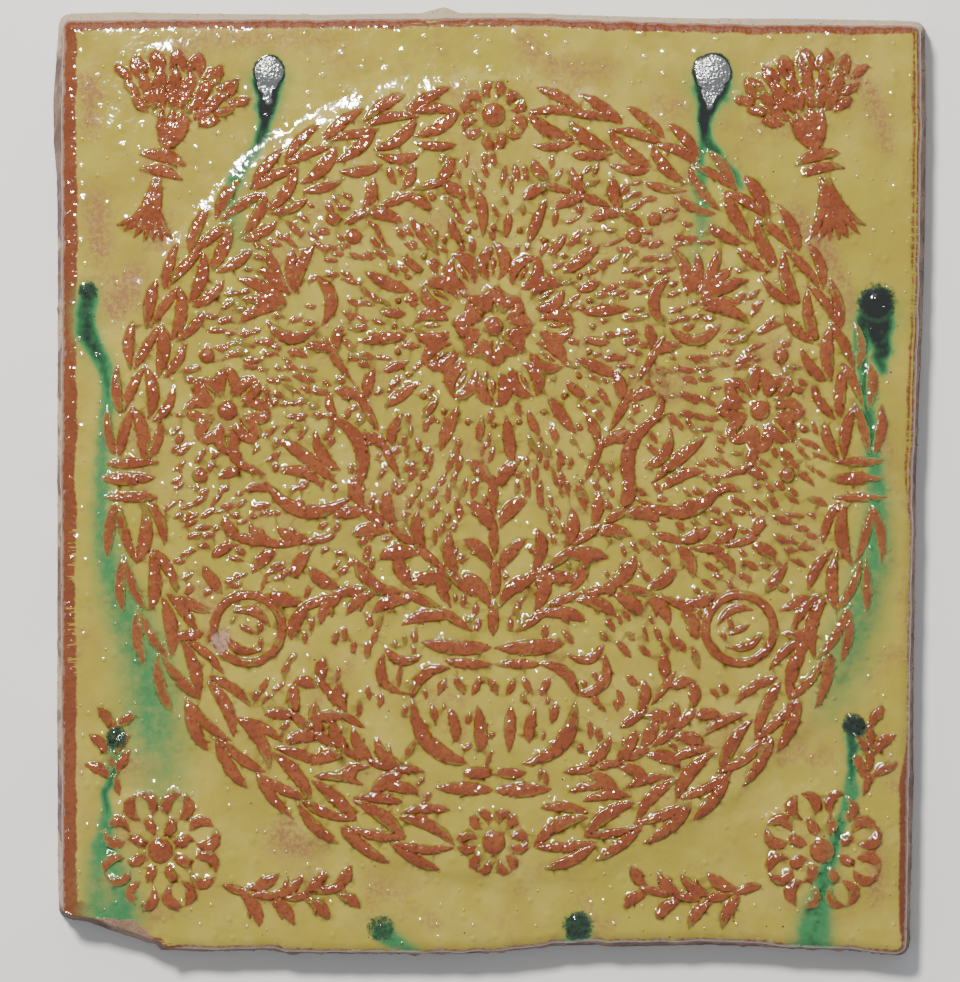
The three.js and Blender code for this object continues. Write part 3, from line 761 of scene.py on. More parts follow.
    def height(self, points):
        """Height over the back, in millimetres, with what lies under it at each point."""
        lay = self.layout
        rim = self.edge_distance(points)
        rise = np.zeros(len(points))
        for x, y, across, along, turn, up, slope in lay.grounds():
            gap = points - (x, y)
            c, s = cos(radians(turn)), sin(radians(turn))
            u = gap[:, 0] * c + gap[:, 1] * s
            v = (gap[:, 1] * c - gap[:, 0] * s) * across / along
            reach = np.hypot(u, v) + ripples(points, UNEVEN_GROUNDS)
            softness = slope * (1.9 + 0.6 * ripple(points, 15, 5))
            ramp = np.clip((across + slope * 0.5 - reach) / softness, -1, 1)
            ramp = 0.5 + 0.5 * np.tanh(self.shoulder_bend * ramp) / np.tanh(self.shoulder_bend)
            rise = np.maximum(rise, up * np.clip(ramp, 0, 1))
        depth, ridge = self.ridges(points)
        calm = smooth(0, 9, rim)
        ground = lay.field + rise + calm * lay.swell * ripples(points, PRESSED_FIELD)
        height = ground + ridge * smooth(0.5, 3, rim)
        copper = self.soft_amount(points, self.runs, 1.0, 0.42)
        dropped, drop_height = self.drops(points)
        height += drop_height * smooth(0.5, 4, rim)
        scar = np.hypot(*((points - self.scar) / self.scar_radii).T) + 0.12 * ripple(points, 3, 8)
        bare = smooth(1.04, 0.96, scar)
        height -= bare * 0.3
        # The rim is round, and sharp where the facet broke away from it
        cut = self.chip_cut(points)
        inset = np.clip(1 - rim / self.rim_reach, 0, 1)
        height -= lay.edge_round * (1 - np.sqrt(1 - inset ** 2)) * smooth(0.3, 4, -cut)
        chip = lay.field - cut * tan(radians(self.chip_slope))
        bare = np.maximum(bare, smooth(-0.05, 0.1, height - chip))
        thin = self.soft_amount(points, self.thin, 0.6, 0.5)
        copper *= 1 - 0.8 * smooth(0.0, 0.5, depth) * smooth(0.95, 0.7, copper)
        copper *= 1 - 0.75 * np.clip(thin, 0, 1)
        amounts = {
            "ridge": depth, "copper": copper, "drop": dropped, "bare": bare, "thin": thin,
            "border": self.border(points, rim),
        }
        return np.minimum(height, chip), amounts

    def normals(self, points):
        """Unit normals of the face by its slopes."""
        step = 0.1
        slopes = []
        for way in ((step, 0), (0, step)):
            slopes.append((self.height(points + way)[0] - self.height(points - way)[0]) / (2 * step))
        normals = np.stack([-slopes[0], -slopes[1], np.ones(len(points))], 1)
        return normals / np.linalg.norm(normals, axis=1)[:, None]


def cross_section(tree, middle, height, spacing):
    """The solid's outline at a height, in millimetres from the face's middle, one point for
    each step round a box that encloses it."""
    half = np.array([TILE_HIGH.x + 0.01, TILE_HIGH.y + 0.01])
    corners = [(-half[0], -half[1]), (half[0], -half[1]), (half[0], half[1]), (-half[0], half[1])]
    ring = []
    for (ax, ay), (bx, by) in zip(corners, corners[1:] + corners[:1]):
        steps = ceil(hypot(bx - ax, by - ay) / spacing)
        for i in range(steps):
            start = Vector((ax + (bx - ax) * i / steps, ay + (by - ay) * i / steps, height))
            hit = tree.ray_cast(start, (Vector((0, 0, height)) - start).normalized())[0]
            if hit is None:
                raise RuntimeError("the solid has no wall where its outline is looked for")
            ring.append((hit.x - middle[0], hit.y - middle[1]))
    return np.array(ring) / MM


def ring_normals(ring):
    """Outward directions round a closed outline that runs anticlockwise."""
    way = np.roll(ring, -2, 0) - np.roll(ring, 2, 0)
    way /= np.linalg.norm(way, axis=1)[:, None]
    return np.stack([way[:, 1], -way[:, 0]], 1)


def thinned(points, gap, seen=None):
    """Leaves one point in each cell of that size, and none where a seen point lies."""
    cells = np.floor(points / gap).astype(np.int64)
    keys = cells[:, 0] * 100003 + cells[:, 1]
    _, first = np.unique(keys, return_index=True)
    first.sort()
    if seen is not None:
        taken = np.floor(seen / gap).astype(np.int64)
        first = first[~np.isin(keys[first], taken[:, 0] * 100003 + taken[:, 1])]
    return points[first]


def stroke_rows(stroke, offsets):
    """Points beside a stroke's outline at some offsets, and along its middle line."""
    line, radii = stroke.line, stroke.radii
    way = np.gradient(line, axis=0)
    way /= np.maximum(np.linalg.norm(way, axis=1), 1e-9)[:, None]
    normal = np.stack([-way[:, 1], way[:, 0]], 1)
    rows = [line]
    for offset in offsets:
        reach = radii + offset
        wide = reach > 0.25
        for side in (1, -1):
            rows.append((line + normal * reach[:, None] * side)[wide])
        for end, back in ((0, -1), (-1, 1)):
            if wide[end]:
                rows.append((line[end] + way[end] * back * reach[end])[None])
    return np.vstack(rows)


def enclosed(points, ring):
    """Which points lie inside a closed outline."""
    x, y = points[:, 0, None], points[:, 1, None]
    (ax, ay), (bx, by) = ring.T, np.roll(ring, -1, 0).T
    crosses = ((ay > y) != (by > y)) & (x < (bx - ax) * (y - ay) / (by - ay + 1e-12) + ax)
    return crosses.sum(1) % 2 == 1


# Where the face's mesh has its points: how far outside the edges of ridges, domes and runs,
# how deep inside the rim, and at which shares of a drop's and the scar's radius
RIDGE_OFFSETS = (0.0, 0.4, -0.5)
DOME_OFFSETS = (0.4, 0.02, -0.45, -1.1, -1.9, -2.8)
RUN_OFFSETS = (0.4, -0.4, -1.2)
RIM_DEPTHS = (0.14, 0.42, 0.85, 1.4, 2.1, 2.9, 3.8, 4.8)
DROP_SHARES = (0.12, 0.3, 0.48, 0.64, 0.78, 0.9, 1.0, 1.12)
SCAR_SHARES = (0.6, 0.94, 1.06)
DETAIL_GAP = 0.44
LEAST_RADIUS = 0.25
CHIP_GRID = ((-119.5, -137), (-95, -126), (0.6, 0.5))
# The rows of a staggered grid lie this much closer than the points in a row
ROW_SHARE = 0.87


def face_samples(face, spacing):
    """Where the face's mesh has its points: close along each stroke and run, wide between."""
    rows = [stroke_rows(s, RIDGE_OFFSETS) for s in face.strokes if len(s.line) > 2]
    for s in face.strokes:
        if len(s.line) == 2:
            reaches = s.radii[0] + np.array(DOME_OFFSETS)
            rows.append(s.line[:1])
            rows += [s.line[0] + circle(16) * reach for reach in reaches[reaches > LEAST_RADIUS]]
    rows = [thinned(np.vstack(rows), DETAIL_GAP), grid(*CHIP_GRID)]
    rows += [face.scar + circle(16) * face.scar_radii * share for share in SCAR_SHARES]
    normals = ring_normals(face.outline)
    rows += [face.outline - normals * depth for depth in RIM_DEPTHS]
    rows += [stroke_rows(Stroke(run.line, run.widths, 1), RUN_OFFSETS) for run in face.runs]
    for x, y, radius, _ in DROPS:
        rows += [np.array((x, y)) + circle(36) * radius * share for share in DROP_SHARES]
    detail = thinned(np.vstack(rows), DETAIL_GAP)
    half = np.array((face.layout.width, face.layout.height)) / 2
    ground = grid(-half, half, (spacing, spacing * ROW_SHARE), staggered=True)
    ground += np.random.default_rng(5).uniform(-0.18, 0.18, ground.shape) * spacing
    depth, _ = face.ridges(ground)
    ground = thinned(ground[depth < -0.95], spacing * 0.55, detail)
    return np.vstack([detail, ground])


def triangulated(points, loop):
    """Triangles inside a loop of the points: the mesh's places, its triangles, and for each
    place the points that it stands for."""
    flat = [Vector(p) for p in points]
    places, _, triangles, origins, _, _ = delaunay_2d_cdt(flat, loop, [], 1, 1e-5)
    return np.array([tuple(p) for p in places]), triangles, origins


# The rings of the side walls, as shares of the way from the rim to the back
WALL_SHARES = (0.06, 0.16, 0.28, 0.41, 0.54, 0.67, 0.79, 0.89, 0.955, 0.99, 1.0)
# The lowest rings hold no grit, because it would reach below the floor
CLEAN_RINGS = 3
# The spacing of points round the outline in metres, and over the back in millimetres
RING_SPACING = 0.0013
BACK_SPACING = 9.0
# How far below the walls' top and above the back the solid's outlines are taken
OUTLINE_INSET = 0.05


def wall_rings(rim, back, normals, top):
    """The rings of the side walls, which are rough from the mould and cut at the foot."""
    rng = np.random.default_rng(12)
    count = len(rim)
    rough = 0.32 * ripple(rim, 5, 41) + 0.22 * rng.normal(0, 0.5, count)
    for k, share in enumerate(WALL_SHARES):
        drift = 0.26 * ripple(rim + k * 3.1, 7, 42 + k) + 0.14 * rng.normal(0, 1, count)
        foot = -0.75 * max(0.0, (share - 0.93) / 0.07) ** 2
        swell = np.sin(pi * min(share / 0.97, 1)) * (rough + drift) + foot
        place = rim * (1 - share) + back * share + normals * swell[:, None]
        yield np.column_stack([place, np.full(count, top * (1 - share))])


def flat_back(ring, loop, first_on_ring, first_inside):
    """The back's triangles, facing down, and the points that it adds inside its ring. The
    numbers of the ring's points and of the added ones start where they are told to."""
    points = grid((-140, -150), (141, 151), (BACK_SPACING, BACK_SPACING))
    closed = np.vstack([ring, ring[:1]])
    gap = -inside_distance(points, closed, np.zeros(len(closed)))[0]
    within = (gap > 4) & ((points > ring.min(0) + 3) & (points < ring.max(0) - 3)).all(1)
    places, triangles, origins = triangulated(np.vstack([ring, points[within]]), loop)
    numbers = []
    added = []
    for place, olds in zip(places, origins):
        on_ring = [old for old in olds if old < len(ring)]
        if on_ring:
            numbers.append(first_on_ring + on_ring[0])
        else:
            numbers.append(first_inside + len(added))
            added.append((*place, 0.0))
    return [[numbers[a], numbers[c], numbers[b]] for a, b, c in triangles], np.array(added)


def build_tile_mesh(name, settings, spacing):
    """The tile as one closed mesh, with the amounts that its material reads at each point."""
    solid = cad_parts[TILE_NODE]
    tree = BVHTree.FromPolygons(
        [v.co for v in solid.data.vertices], [tuple(p.vertices) for p in solid.data.polygons])
    middle = (FACE_MIDDLE_X, FACE_MIDDLE_Y)
    layout = Layout(settings)
    wall_top = layout.field - layout.edge_round
    rim = cross_section(tree, middle, (wall_top - OUTLINE_INSET) * MM, RING_SPACING)
    back = cross_section(tree, middle, OUTLINE_INSET * MM, RING_SPACING)
    normals = ring_normals(rim)
    rim = rim + normals * ripples(rim, TRIMMED_RIM)[:, None]
    face = Face(layout, rim)

    samples = face_samples(face, spacing)
    from_rim = face.edge_distance(samples)
    inside = from_rim > 0.1
    near = from_rim < 12
    inside[near] &= enclosed(samples[near], rim)
    count = len(rim)
    loop = [(i, (i + 1) % count) for i in range(count)]
    points, triangles, origins = triangulated(np.vstack([rim, samples[inside]]), loop)
    heights, amounts = face.height(points)
    ring_place = {old: new for new, olds in enumerate(origins) for old in olds if old < count}
    top_ring = np.array([ring_place[i] for i in range(count)])
    heights[top_ring] = wall_top
    vertices = [np.column_stack([points, heights])]
    faces = [list(t) for t in triangles]

    total = len(points)
    upper = top_ring
    for ring in wall_rings(rim, back, normals, wall_top):
        vertices.append(ring)
        lower = np.arange(count) + total
        total += count
        for i, j in loop:
            faces.append([upper[i], lower[i], lower[j]])
            faces.append([upper[i], lower[j], upper[j]])
        upper = lower
    back_start = len(faces)
    back_faces, added = flat_back(vertices[-1][:, :2], loop, total - count, total)
    faces += back_faces
    vertices = np.vstack([*vertices, added])

    mesh = bpy.data.meshes.new(name)
    mesh.from_pydata((vertices * MM + (*middle, 0)).tolist(), [], [list(map(int, f)) for f in faces])
    mesh.update()
    mesh.shade_smooth()
    vertex_normals = np.zeros(len(vertices) * 3, np.float32)
    mesh.vertex_normals.foreach_get("vector", vertex_normals)
    vertex_normals = vertex_normals.reshape(-1, 3)
    shaped = np.nonzero(face.edge_distance(points) > 0.3)[0]
    vertex_normals[shaped] = face.normals(points[shaped])
    loops = np.zeros(len(mesh.loops), np.int32)
    mesh.loops.foreach_get("vertex_index", loops)
    loop_normals = vertex_normals[loops]
    loop_normals[back_start * 3:] = (0, 0, -1)
    mesh.normals_split_custom_set(loop_normals.tolist())

    amounts["wall"] = np.zeros(len(points))
    amounts["wall"][top_ring] = 0.5
    amounts["slip"] = np.zeros(len(points))
    # Where grains are scattered: the open glaze, and the walls and broken places
    amounts["glazed"] = ((amounts["bare"] < 0.1) & (amounts["ridge"] < 0.2)).astype(float)
    amounts["raw"] = (amounts["bare"] > 0.9).astype(float)
    rest = np.zeros(len(vertices) - len(points))
    off_face = {"ridge": rest - 4, "wall": rest + 1, "slip": rest + 0.3, "raw": rest.copy()}
    # Slip ran over the wall that was on top, and hardly over the others; the right wall gets less than the
    # left as painted shade
    slip = 0.42 + 0.62 * normals[:, 1] - 0.1 * normals[:, 0]
    on_walls = count * len(WALL_SHARES)
    off_face["slip"][:on_walls] = np.tile(slip, len(WALL_SHARES))
    off_face["raw"][:on_walls - count * CLEAN_RINGS] = 1
    for key, on_face in amounts.items():
        values = np.concatenate([on_face, off_face.get(key, rest)]).astype(np.float32)
        mesh.attributes.new(key, "FLOAT", "POINT").data.foreach_set("value", values)
    return mesh


class Nodes:
    """Places nodes in a tree and joins them."""

    def __init__(self, tree):
        self.tree = tree

    def add(self, kind, inputs=None, **settings):
        made = self.tree.nodes.new(kind)
        for key, value in settings.items():
            setattr(made, key, value)
        for socket, value in (inputs or {}).items():
            self.feed(made.inputs[socket], value)
        return made

    def feed(self, socket, value):
        if isinstance(value, bpy.types.NodeSocket):
            self.tree.links.new(value, socket)
        else:
            socket.default_value = value

    def math(self, operation, a, b):
        return self.add("ShaderNodeMath", {0: a, 1: b}, operation=operation).outputs[0]

    def plus(self, a, b):
        return self.math("ADD", a, b)

    def minus(self, a, b):
        return self.math("SUBTRACT", a, b)

    def times(self, a, b):
        return self.math("MULTIPLY", a, b)

    def larger(self, a, b):
        return self.math("MAXIMUM", a, b)

    def step(self, value, low, high):
        """0 below low, 1 above high, and smooth between."""
        ends = {"Value": value, "From Min": low, "From Max": high}
        return self.add("ShaderNodeMapRange", ends, interpolation_type="SMOOTHSTEP").outputs["Result"]

    def mix(self, factor, a, b):
        return self.add("ShaderNodeMix", {0: factor, 6: a, 7: b}, data_type="RGBA").outputs[2]

    def blend(self, factor, a, b):
        return self.add("ShaderNodeMix", {0: factor, 2: a, 3: b}, data_type="FLOAT").outputs[0]

    def laid(self, below, above, value, low, high, strength=1.0):
        """One tone laid over another where a value rises from low to high."""
        mask = self.step(value, low, high)
        return self.mix(mask if strength == 1 else self.times(mask, strength), below, above)

    def noise(self, vector, size, detail=2.0, roughness=0.5, solid=False):
        """Cloudy noise with blots of about that size in metres, over the face or solid."""
        made = self.add("ShaderNodeTexNoise", {
            "Vector": vector, "Scale": 1 / size, "Detail": detail, "Roughness": roughness},
            noise_dimensions="3D" if solid else "2D")
        return made.outputs["Fac"]

    def amount(self, name):
        return self.add("ShaderNodeAttribute", attribute_name=name).outputs["Fac"]

    def stretched(self, vector, scale):
        return self.add("ShaderNodeMapping", {"Vector": vector, "Scale": scale}).outputs["Vector"]


def color(value):
    """A setting's colour with its alpha."""
    return (*value[:3], 1.0)


def group_tree(name, inputs, outputs):
    """A shader node group with named sockets, and its Nodes, inputs and output node."""
    tree = bpy.data.node_groups.new(name, "ShaderNodeTree")
    for socket, kind, default in inputs:
        made = tree.interface.new_socket(socket, in_out="INPUT", socket_type=kind)
        if default is not None:
            made.default_value = default
    for socket, kind in outputs:
        tree.interface.new_socket(socket, in_out="OUTPUT", socket_type=kind)
    nodes = Nodes(tree)
    source = nodes.add("NodeGroupInput")
    sink = nodes.add("NodeGroupOutput")
    return tree, nodes, source.outputs, sink


def clay_group():
    """Fired red clay: its colour, its roughness and its grain as a height."""
    tree, nodes, given, sink = group_tree(
        "fired_clay",
        [("Vector", "NodeSocketVector", None), ("Clay", "NodeSocketColor", (0.4, 0.15, 0.08, 1)),
         ("Grain Size", "NodeSocketFloat", 0.001)],
        [("Color", "NodeSocketColor"), ("Roughness", "NodeSocketFloat"), ("Height", "NodeSocketFloat")])
    scale = nodes.math("DIVIDE", 1.0, given["Grain Size"])
    grain = nodes.add("ShaderNodeTexNoise", {
        "Vector": given["Vector"], "Scale": scale, "Detail": 2.0}).outputs["Fac"]
    clouds = nodes.noise(given["Vector"], 0.009, 1.0, solid=True)
    pale = nodes.mix(0.3, given["Clay"], CLAY_PALE)
    deep = nodes.mix(0.4, given["Clay"], CLAY_DEEP)
    tone = nodes.laid(given["Clay"], pale, clouds, 0.36, 0.66)
    nodes.feed(sink.inputs["Color"], nodes.laid(tone, deep, grain, 0.52, 0.7, 0.6))
    nodes.feed(sink.inputs["Roughness"], nodes.plus(0.72, nodes.times(grain, 0.24)))
    pitted = nodes.times(nodes.step(grain, 0.3, 0.46), 0.5)
    nodes.feed(sink.inputs["Height"], nodes.plus(grain, pitted))
    return tree


def speckle_group():
    """Scattered round spots, few and uneven in size, as a rounded height."""
    tree, nodes, given, sink = group_tree(
        "scattered_spots",
        [("Vector", "NodeSocketVector", None), ("Spacing", "NodeSocketFloat", 0.006),
         ("Share", "NodeSocketFloat", 0.3), ("Size", "NodeSocketFloat", 0.1)],
        [("Height", "NodeSocketFloat")])
    scale = nodes.math("DIVIDE", 1.0, given["Spacing"])
    cells = nodes.add("ShaderNodeTexVoronoi", {
        "Vector": given["Vector"], "Scale": scale}, voronoi_dimensions="2D")
    chance = nodes.add("ShaderNodeSeparateColor", {0: cells.outputs["Color"]})
    chosen = nodes.math("LESS_THAN", chance.outputs[0], given["Share"])
    uneven = nodes.plus(0.3, nodes.math("POWER", chance.outputs[1], 2.0))
    reach = nodes.math("DIVIDE", cells.outputs["Distance"], nodes.times(uneven, given["Size"]))
    nodes.feed(sink.inputs["Height"], nodes.times(nodes.step(reach, 1.3, 0.0), chosen))
    return tree


def use_group(nodes, tree, inputs):
    """Places a node group, feeds it and gives its outputs."""
    made = nodes.add("ShaderNodeGroup", node_tree=tree)
    for socket, value in inputs.items():
        nodes.feed(made.inputs[socket], value)
    return made.outputs


# Tones that the material lays over those of the settings
GLAZE_PALE = (0.45, 0.36, 0.056, 1)
GLAZE_MOSSY = (0.36, 0.3, 0.02, 1)
GLAZE_AMBER = (0.33, 0.24, 0.026, 1)
# The glaze at the ridges' feet: darker for glaze that pooled there and for painted shade in the crease
FOOT_POOL_AND_SHADE = (0.14, 0.07, 0.006, 1)
SLIP_SMUDGED = (0.29, 0.135, 0.052, 1)
RED_LIGHT = (0.26, 0.067, 0.012, 1)
RED_DEEP = (0.14, 0.026, 0.004, 1)
# The rim band's red, darker as painted shade on the rounding of the rim
RED_SHADED_ON_RIM = (0.12, 0.034, 0.008, 1)
STAIN_PALE = (0.17, 0.25, 0.056, 1)
STAIN_DEEP = (0.016, 0.105, 0.03, 1)
STAIN_DARK = (0.006, 0.045, 0.015, 1)
DROP_GREEN = (0.01, 0.05, 0.016, 1)
COPPER_BLACK = (0.004, 0.007, 0.005, 1)
CRUST_SILVER = (0.36, 0.37, 0.38, 1)
CLAY_PALE = (0.55, 0.36, 0.24, 1)
CLAY_DEEP = (0.1, 0.035, 0.02, 1)
# The walls' clay, darker than the chip's as painted shade on the side walls
WALL_CLAY_SHADED = (0.09, 0.032, 0.016, 1)
SLIP_RAW = (0.52, 0.41, 0.25, 1)
# The darkest and the palest tone of the scattered grains
IRON_TONES = ((0.012, 0.006, 0.003, 1), (0.06, 0.025, 0.01, 1))
GRIT_TONES = ((0.08, 0.035, 0.022, 1), (0.34, 0.23, 0.15, 1))

# The glazed material's noises: the size of their blots in metres, detail and roughness
NOISES = {
    "broad": (0.05, 1.0), "patchy": (0.016, 1.0, 0.6), "blotches": (0.022, 3.0, 0.66),
    "cloudy": (0.009, 2.0, 0.6), "missed": (0.007, 1.0, 0.65), "scratches": (0.007, 2.0, 0.7),
    "swirl": (0.003, 2.0, 0.65), "wobble": (0.0016, 2.0, 0.7), "fine": (0.0014, 2.0, 0.7),
    "splash": (0.012, 2.0, 0.6), "peel": (0.0065, 1.0), "dimple": (0.0019, 1.0),
    "crystals": (0.0008, 1.0),
}
PIMPLES = {"Spacing": 0.0055, "Share": 0.65, "Size": 0.26}
CLAY_GRAIN = 0.0009
GLAZE_IOR = 1.85


def new_material(name):
    """A material, with the Nodes of its tree and its shader."""
    material = bpy.data.materials.new(name)
    material.use_nodes = True
    return material, Nodes(material.node_tree), material.node_tree.nodes["Principled BSDF"]


class GlazeLayers:
    """The layers of the glazed material, which share some noises and the mesh's amounts."""

    def __init__(self, nodes, settings):
        self.nodes = nodes
        self.settings = settings
        self.place = nodes.add("ShaderNodeTexCoord").outputs["Object"]
        self.broad, self.cloudy, self.fine = (self.noise(name) for name in ("broad", "cloudy", "fine"))
        self.wobble = nodes.minus(self.noise("wobble"), 0.5)
        for name in ("ridge", "copper", "border", "bare", "wall", "slip", "thin", "drop"):
            setattr(self, name, nodes.amount(name))

    def noise(self, name, stretch=None, solid=False):
        place = self.nodes.stretched(self.place, stretch) if stretch else self.place
        return self.nodes.noise(place, *NOISES[name], solid=solid)

    def ground(self):
        """Slip under glaze, deeper and greener where it pooled, darker at ridges' feet with pooled glaze
        and painted shade, thin and pinkish in places.
        """
        n = self.nodes
        tone = n.laid(color(self.settings.glaze_yellow), GLAZE_PALE, self.cloudy, 0.34, 0.66)
        tone = n.laid(tone, GLAZE_MOSSY, self.broad, 0.4, 0.62, 0.55)
        tone = n.laid(tone, GLAZE_AMBER, self.noise("patchy"), 0.42, 0.66, 0.45)
        pooled = n.times(n.step(self.ridge, -1.1, -0.3), n.step(self.cloudy, 0.75, 0.3))
        tone = n.mix(n.times(pooled, 0.6), tone, color(self.settings.glaze_olive))
        # Pooled glaze and painted shade darken a thin line round the foot of every ridge
        tone = n.laid(tone, FOOT_POOL_AND_SHADE, self.ridge, -0.5, -0.1, 0.7)
        blotches = n.step(self.noise("blotches"), 0.54, 0.74)
        smudge = n.plus(n.times(blotches, 0.5), n.times(self.thin, 1.9))
        smudge = n.times(smudge, n.plus(0.35, n.step(self.fine, 0.34, 0.66)))
        return n.mix(n.math("MINIMUM", smudge, 0.92), tone, SLIP_SMUDGED)

    def ridges(self, ground):
        """The red body under thin glaze, with a torn line where the slip starts, and painted shade on the
        rim's band.
        """
        n = self.nodes
        worn = n.plus(self.ridge, n.times(self.wobble, 1.4))
        missed = n.times(n.step(self.noise("missed"), 0.6, 0.68), 0.8)
        on_ridge = n.step(n.minus(worn, missed), -0.08, 0.12)
        scratches = n.step(self.noise("scratches", stretch=(1.0, 8.0, 1.0)), 0.55, 0.66)
        scratched = n.times(scratches, n.step(self.broad, 0.56, 0.64))
        torn = n.minus(self.border, n.times(scratched, 2.6))
        torn = n.plus(torn, n.times(self.wobble, 1.1))
        on_rim = n.step(torn, -0.35, 0.4)
        red = n.laid(color(self.settings.ridge_red), RED_LIGHT, self.cloudy, 0.35, 0.65)
        red = n.laid(red, RED_DEEP, self.fine, 0.48, 0.72, 0.75)
        # The red band on the rim is darkened: painted shade on the rim's rounding
        red = n.mix(n.times(on_rim, 0.4), red, RED_SHADED_ON_RIM)
        return n.mix(n.larger(on_ridge, on_rim), ground, red)

    def copper_over(self, glaze):
        """A pale stain, then green, then nearly black, and a crust on the thickest drops. Gives
        the colour and where the crust is."""
        n = self.nodes
        swirl = n.minus(self.noise("swirl"), 0.5)
        stain = n.plus(self.copper, n.times(swirl, n.times(self.copper, 0.6)))
        green = STAIN_PALE
        for tone, low, high in (
                (color(self.settings.copper_green), 0.2, 0.42), (STAIN_DEEP, 0.42, 0.54),
                (STAIN_DARK, 0.52, 0.7), (COPPER_BLACK, 0.66, 0.84)):
            green = n.laid(green, tone, stain, low, high)
        glaze = n.laid(glaze, green, stain, 0.02, 0.36)
        # A drop's own patch, with a fuzzy edge unless it is crusted
        fuzz = n.times(n.minus(self.fine, 0.5), n.step(self.drop, CRUSTED, 0.6))
        fuzz = n.plus(self.drop, n.times(fuzz, n.step(self.drop, 0.02, 0.3)))
        head = n.laid(DROP_GREEN, COPPER_BLACK, fuzz, 0.55, 0.84)
        glaze = n.laid(glaze, head, fuzz, 0.08, 0.6)
        crusty = n.step(n.larger(self.drop, self.copper), CRUSTED, 0.995)
        return n.mix(crusty, glaze, CRUST_SILVER), crusty

    def bare_clay(self, clay):
        """The chip and the scar, and the walls under splashes of slip. Gives the colour, the
        clay's outputs and where nothing is glazed."""
        n = self.nodes
        on_wall = n.step(n.plus(self.wall, n.times(self.wobble, 0.5)), 0.62, 0.8)
        # The walls take a darker clay than the chip and the scar: painted shade on the sides
        tone = n.mix(on_wall, color(self.settings.clay_bare), WALL_CLAY_SHADED)
        body = use_group(n, clay, {"Vector": self.place, "Clay": tone, "Grain Size": CLAY_GRAIN})
        splash = self.noise("splash", stretch=(1.0, 1.0, 0.45), solid=True)
        slipped = n.times(n.step(n.plus(splash, self.slip), 0.98, 1.1), n.times(on_wall, 0.9))
        return n.mix(slipped, body["Color"], SLIP_RAW), body, n.larger(self.bare, on_wall)

    def skin(self, spots, crusty):
        """The glaze's orange peel, its dimples and pimples, and the crust's crystals, as a height."""
        n = self.nodes
        peel = n.times(self.noise("peel"), 0.3)
        on_ridge = n.step(n.larger(self.ridge, self.border), -0.1, 0.3)
        lumpy = n.plus(0.1, n.times(on_ridge, 0.24))
        dimple = n.times(n.minus(self.noise("dimple"), 0.5), lumpy)
        pimples = use_group(n, spots, {"Vector": self.place, **PIMPLES})["Height"]
        height = n.plus(n.plus(peel, dimple), n.times(pimples, 0.26))
        return n.plus(height, n.times(self.noise("crystals"), n.times(crusty, 0.3)))


def glazed_material(settings, clay, spots):
    """Yellow glaze on the ground, red on the ridges, copper over both, and bare clay."""
    material, nodes, shader = new_material("glazed_earthenware")
    layers = GlazeLayers(nodes, settings)
    glaze, crusty = layers.copper_over(layers.ridges(layers.ground()))
    raw, body, matt = layers.bare_clay(clay)
    nodes.feed(shader.inputs["Base Color"], nodes.mix(matt, glaze, raw))
    gloss = nodes.plus(0.07, nodes.times(layers.fine, 0.06))
    gloss = nodes.plus(gloss, nodes.times(crusty, 0.13))
    nodes.feed(shader.inputs["Roughness"], nodes.blend(matt, gloss, body["Roughness"]))
    nodes.feed(shader.inputs["Metallic"], nodes.times(crusty, nodes.minus(0.9, matt)))
    shader.inputs["IOR"].default_value = GLAZE_IOR

    broken = nodes.larger(layers.bare, nodes.step(layers.wall, 0.62, 0.8))
    surface = nodes.blend(broken, layers.skin(spots, crusty), nodes.times(body["Height"], 0.2))
    bump = nodes.add("ShaderNodeBump", {"Height": surface, "Distance": 0.001, "Strength": 1.0})
    nodes.feed(shader.inputs["Normal"], bump.outputs["Normal"])
    return material


def grain_material(name, dark, light, roughness):
    """Small grains that vary from one to the next."""
    material, nodes, shader = new_material(name)
    place = nodes.add("ShaderNodeTexCoord").outputs["Object"]
    tone = nodes.step(nodes.noise(place, 0.004, 3.0, 0.7, solid=True), 0.35, 0.65)
    nodes.feed(shader.inputs["Base Color"], nodes.mix(tone, dark, light))
    shader.inputs["Roughness"].default_value = roughness
    return material


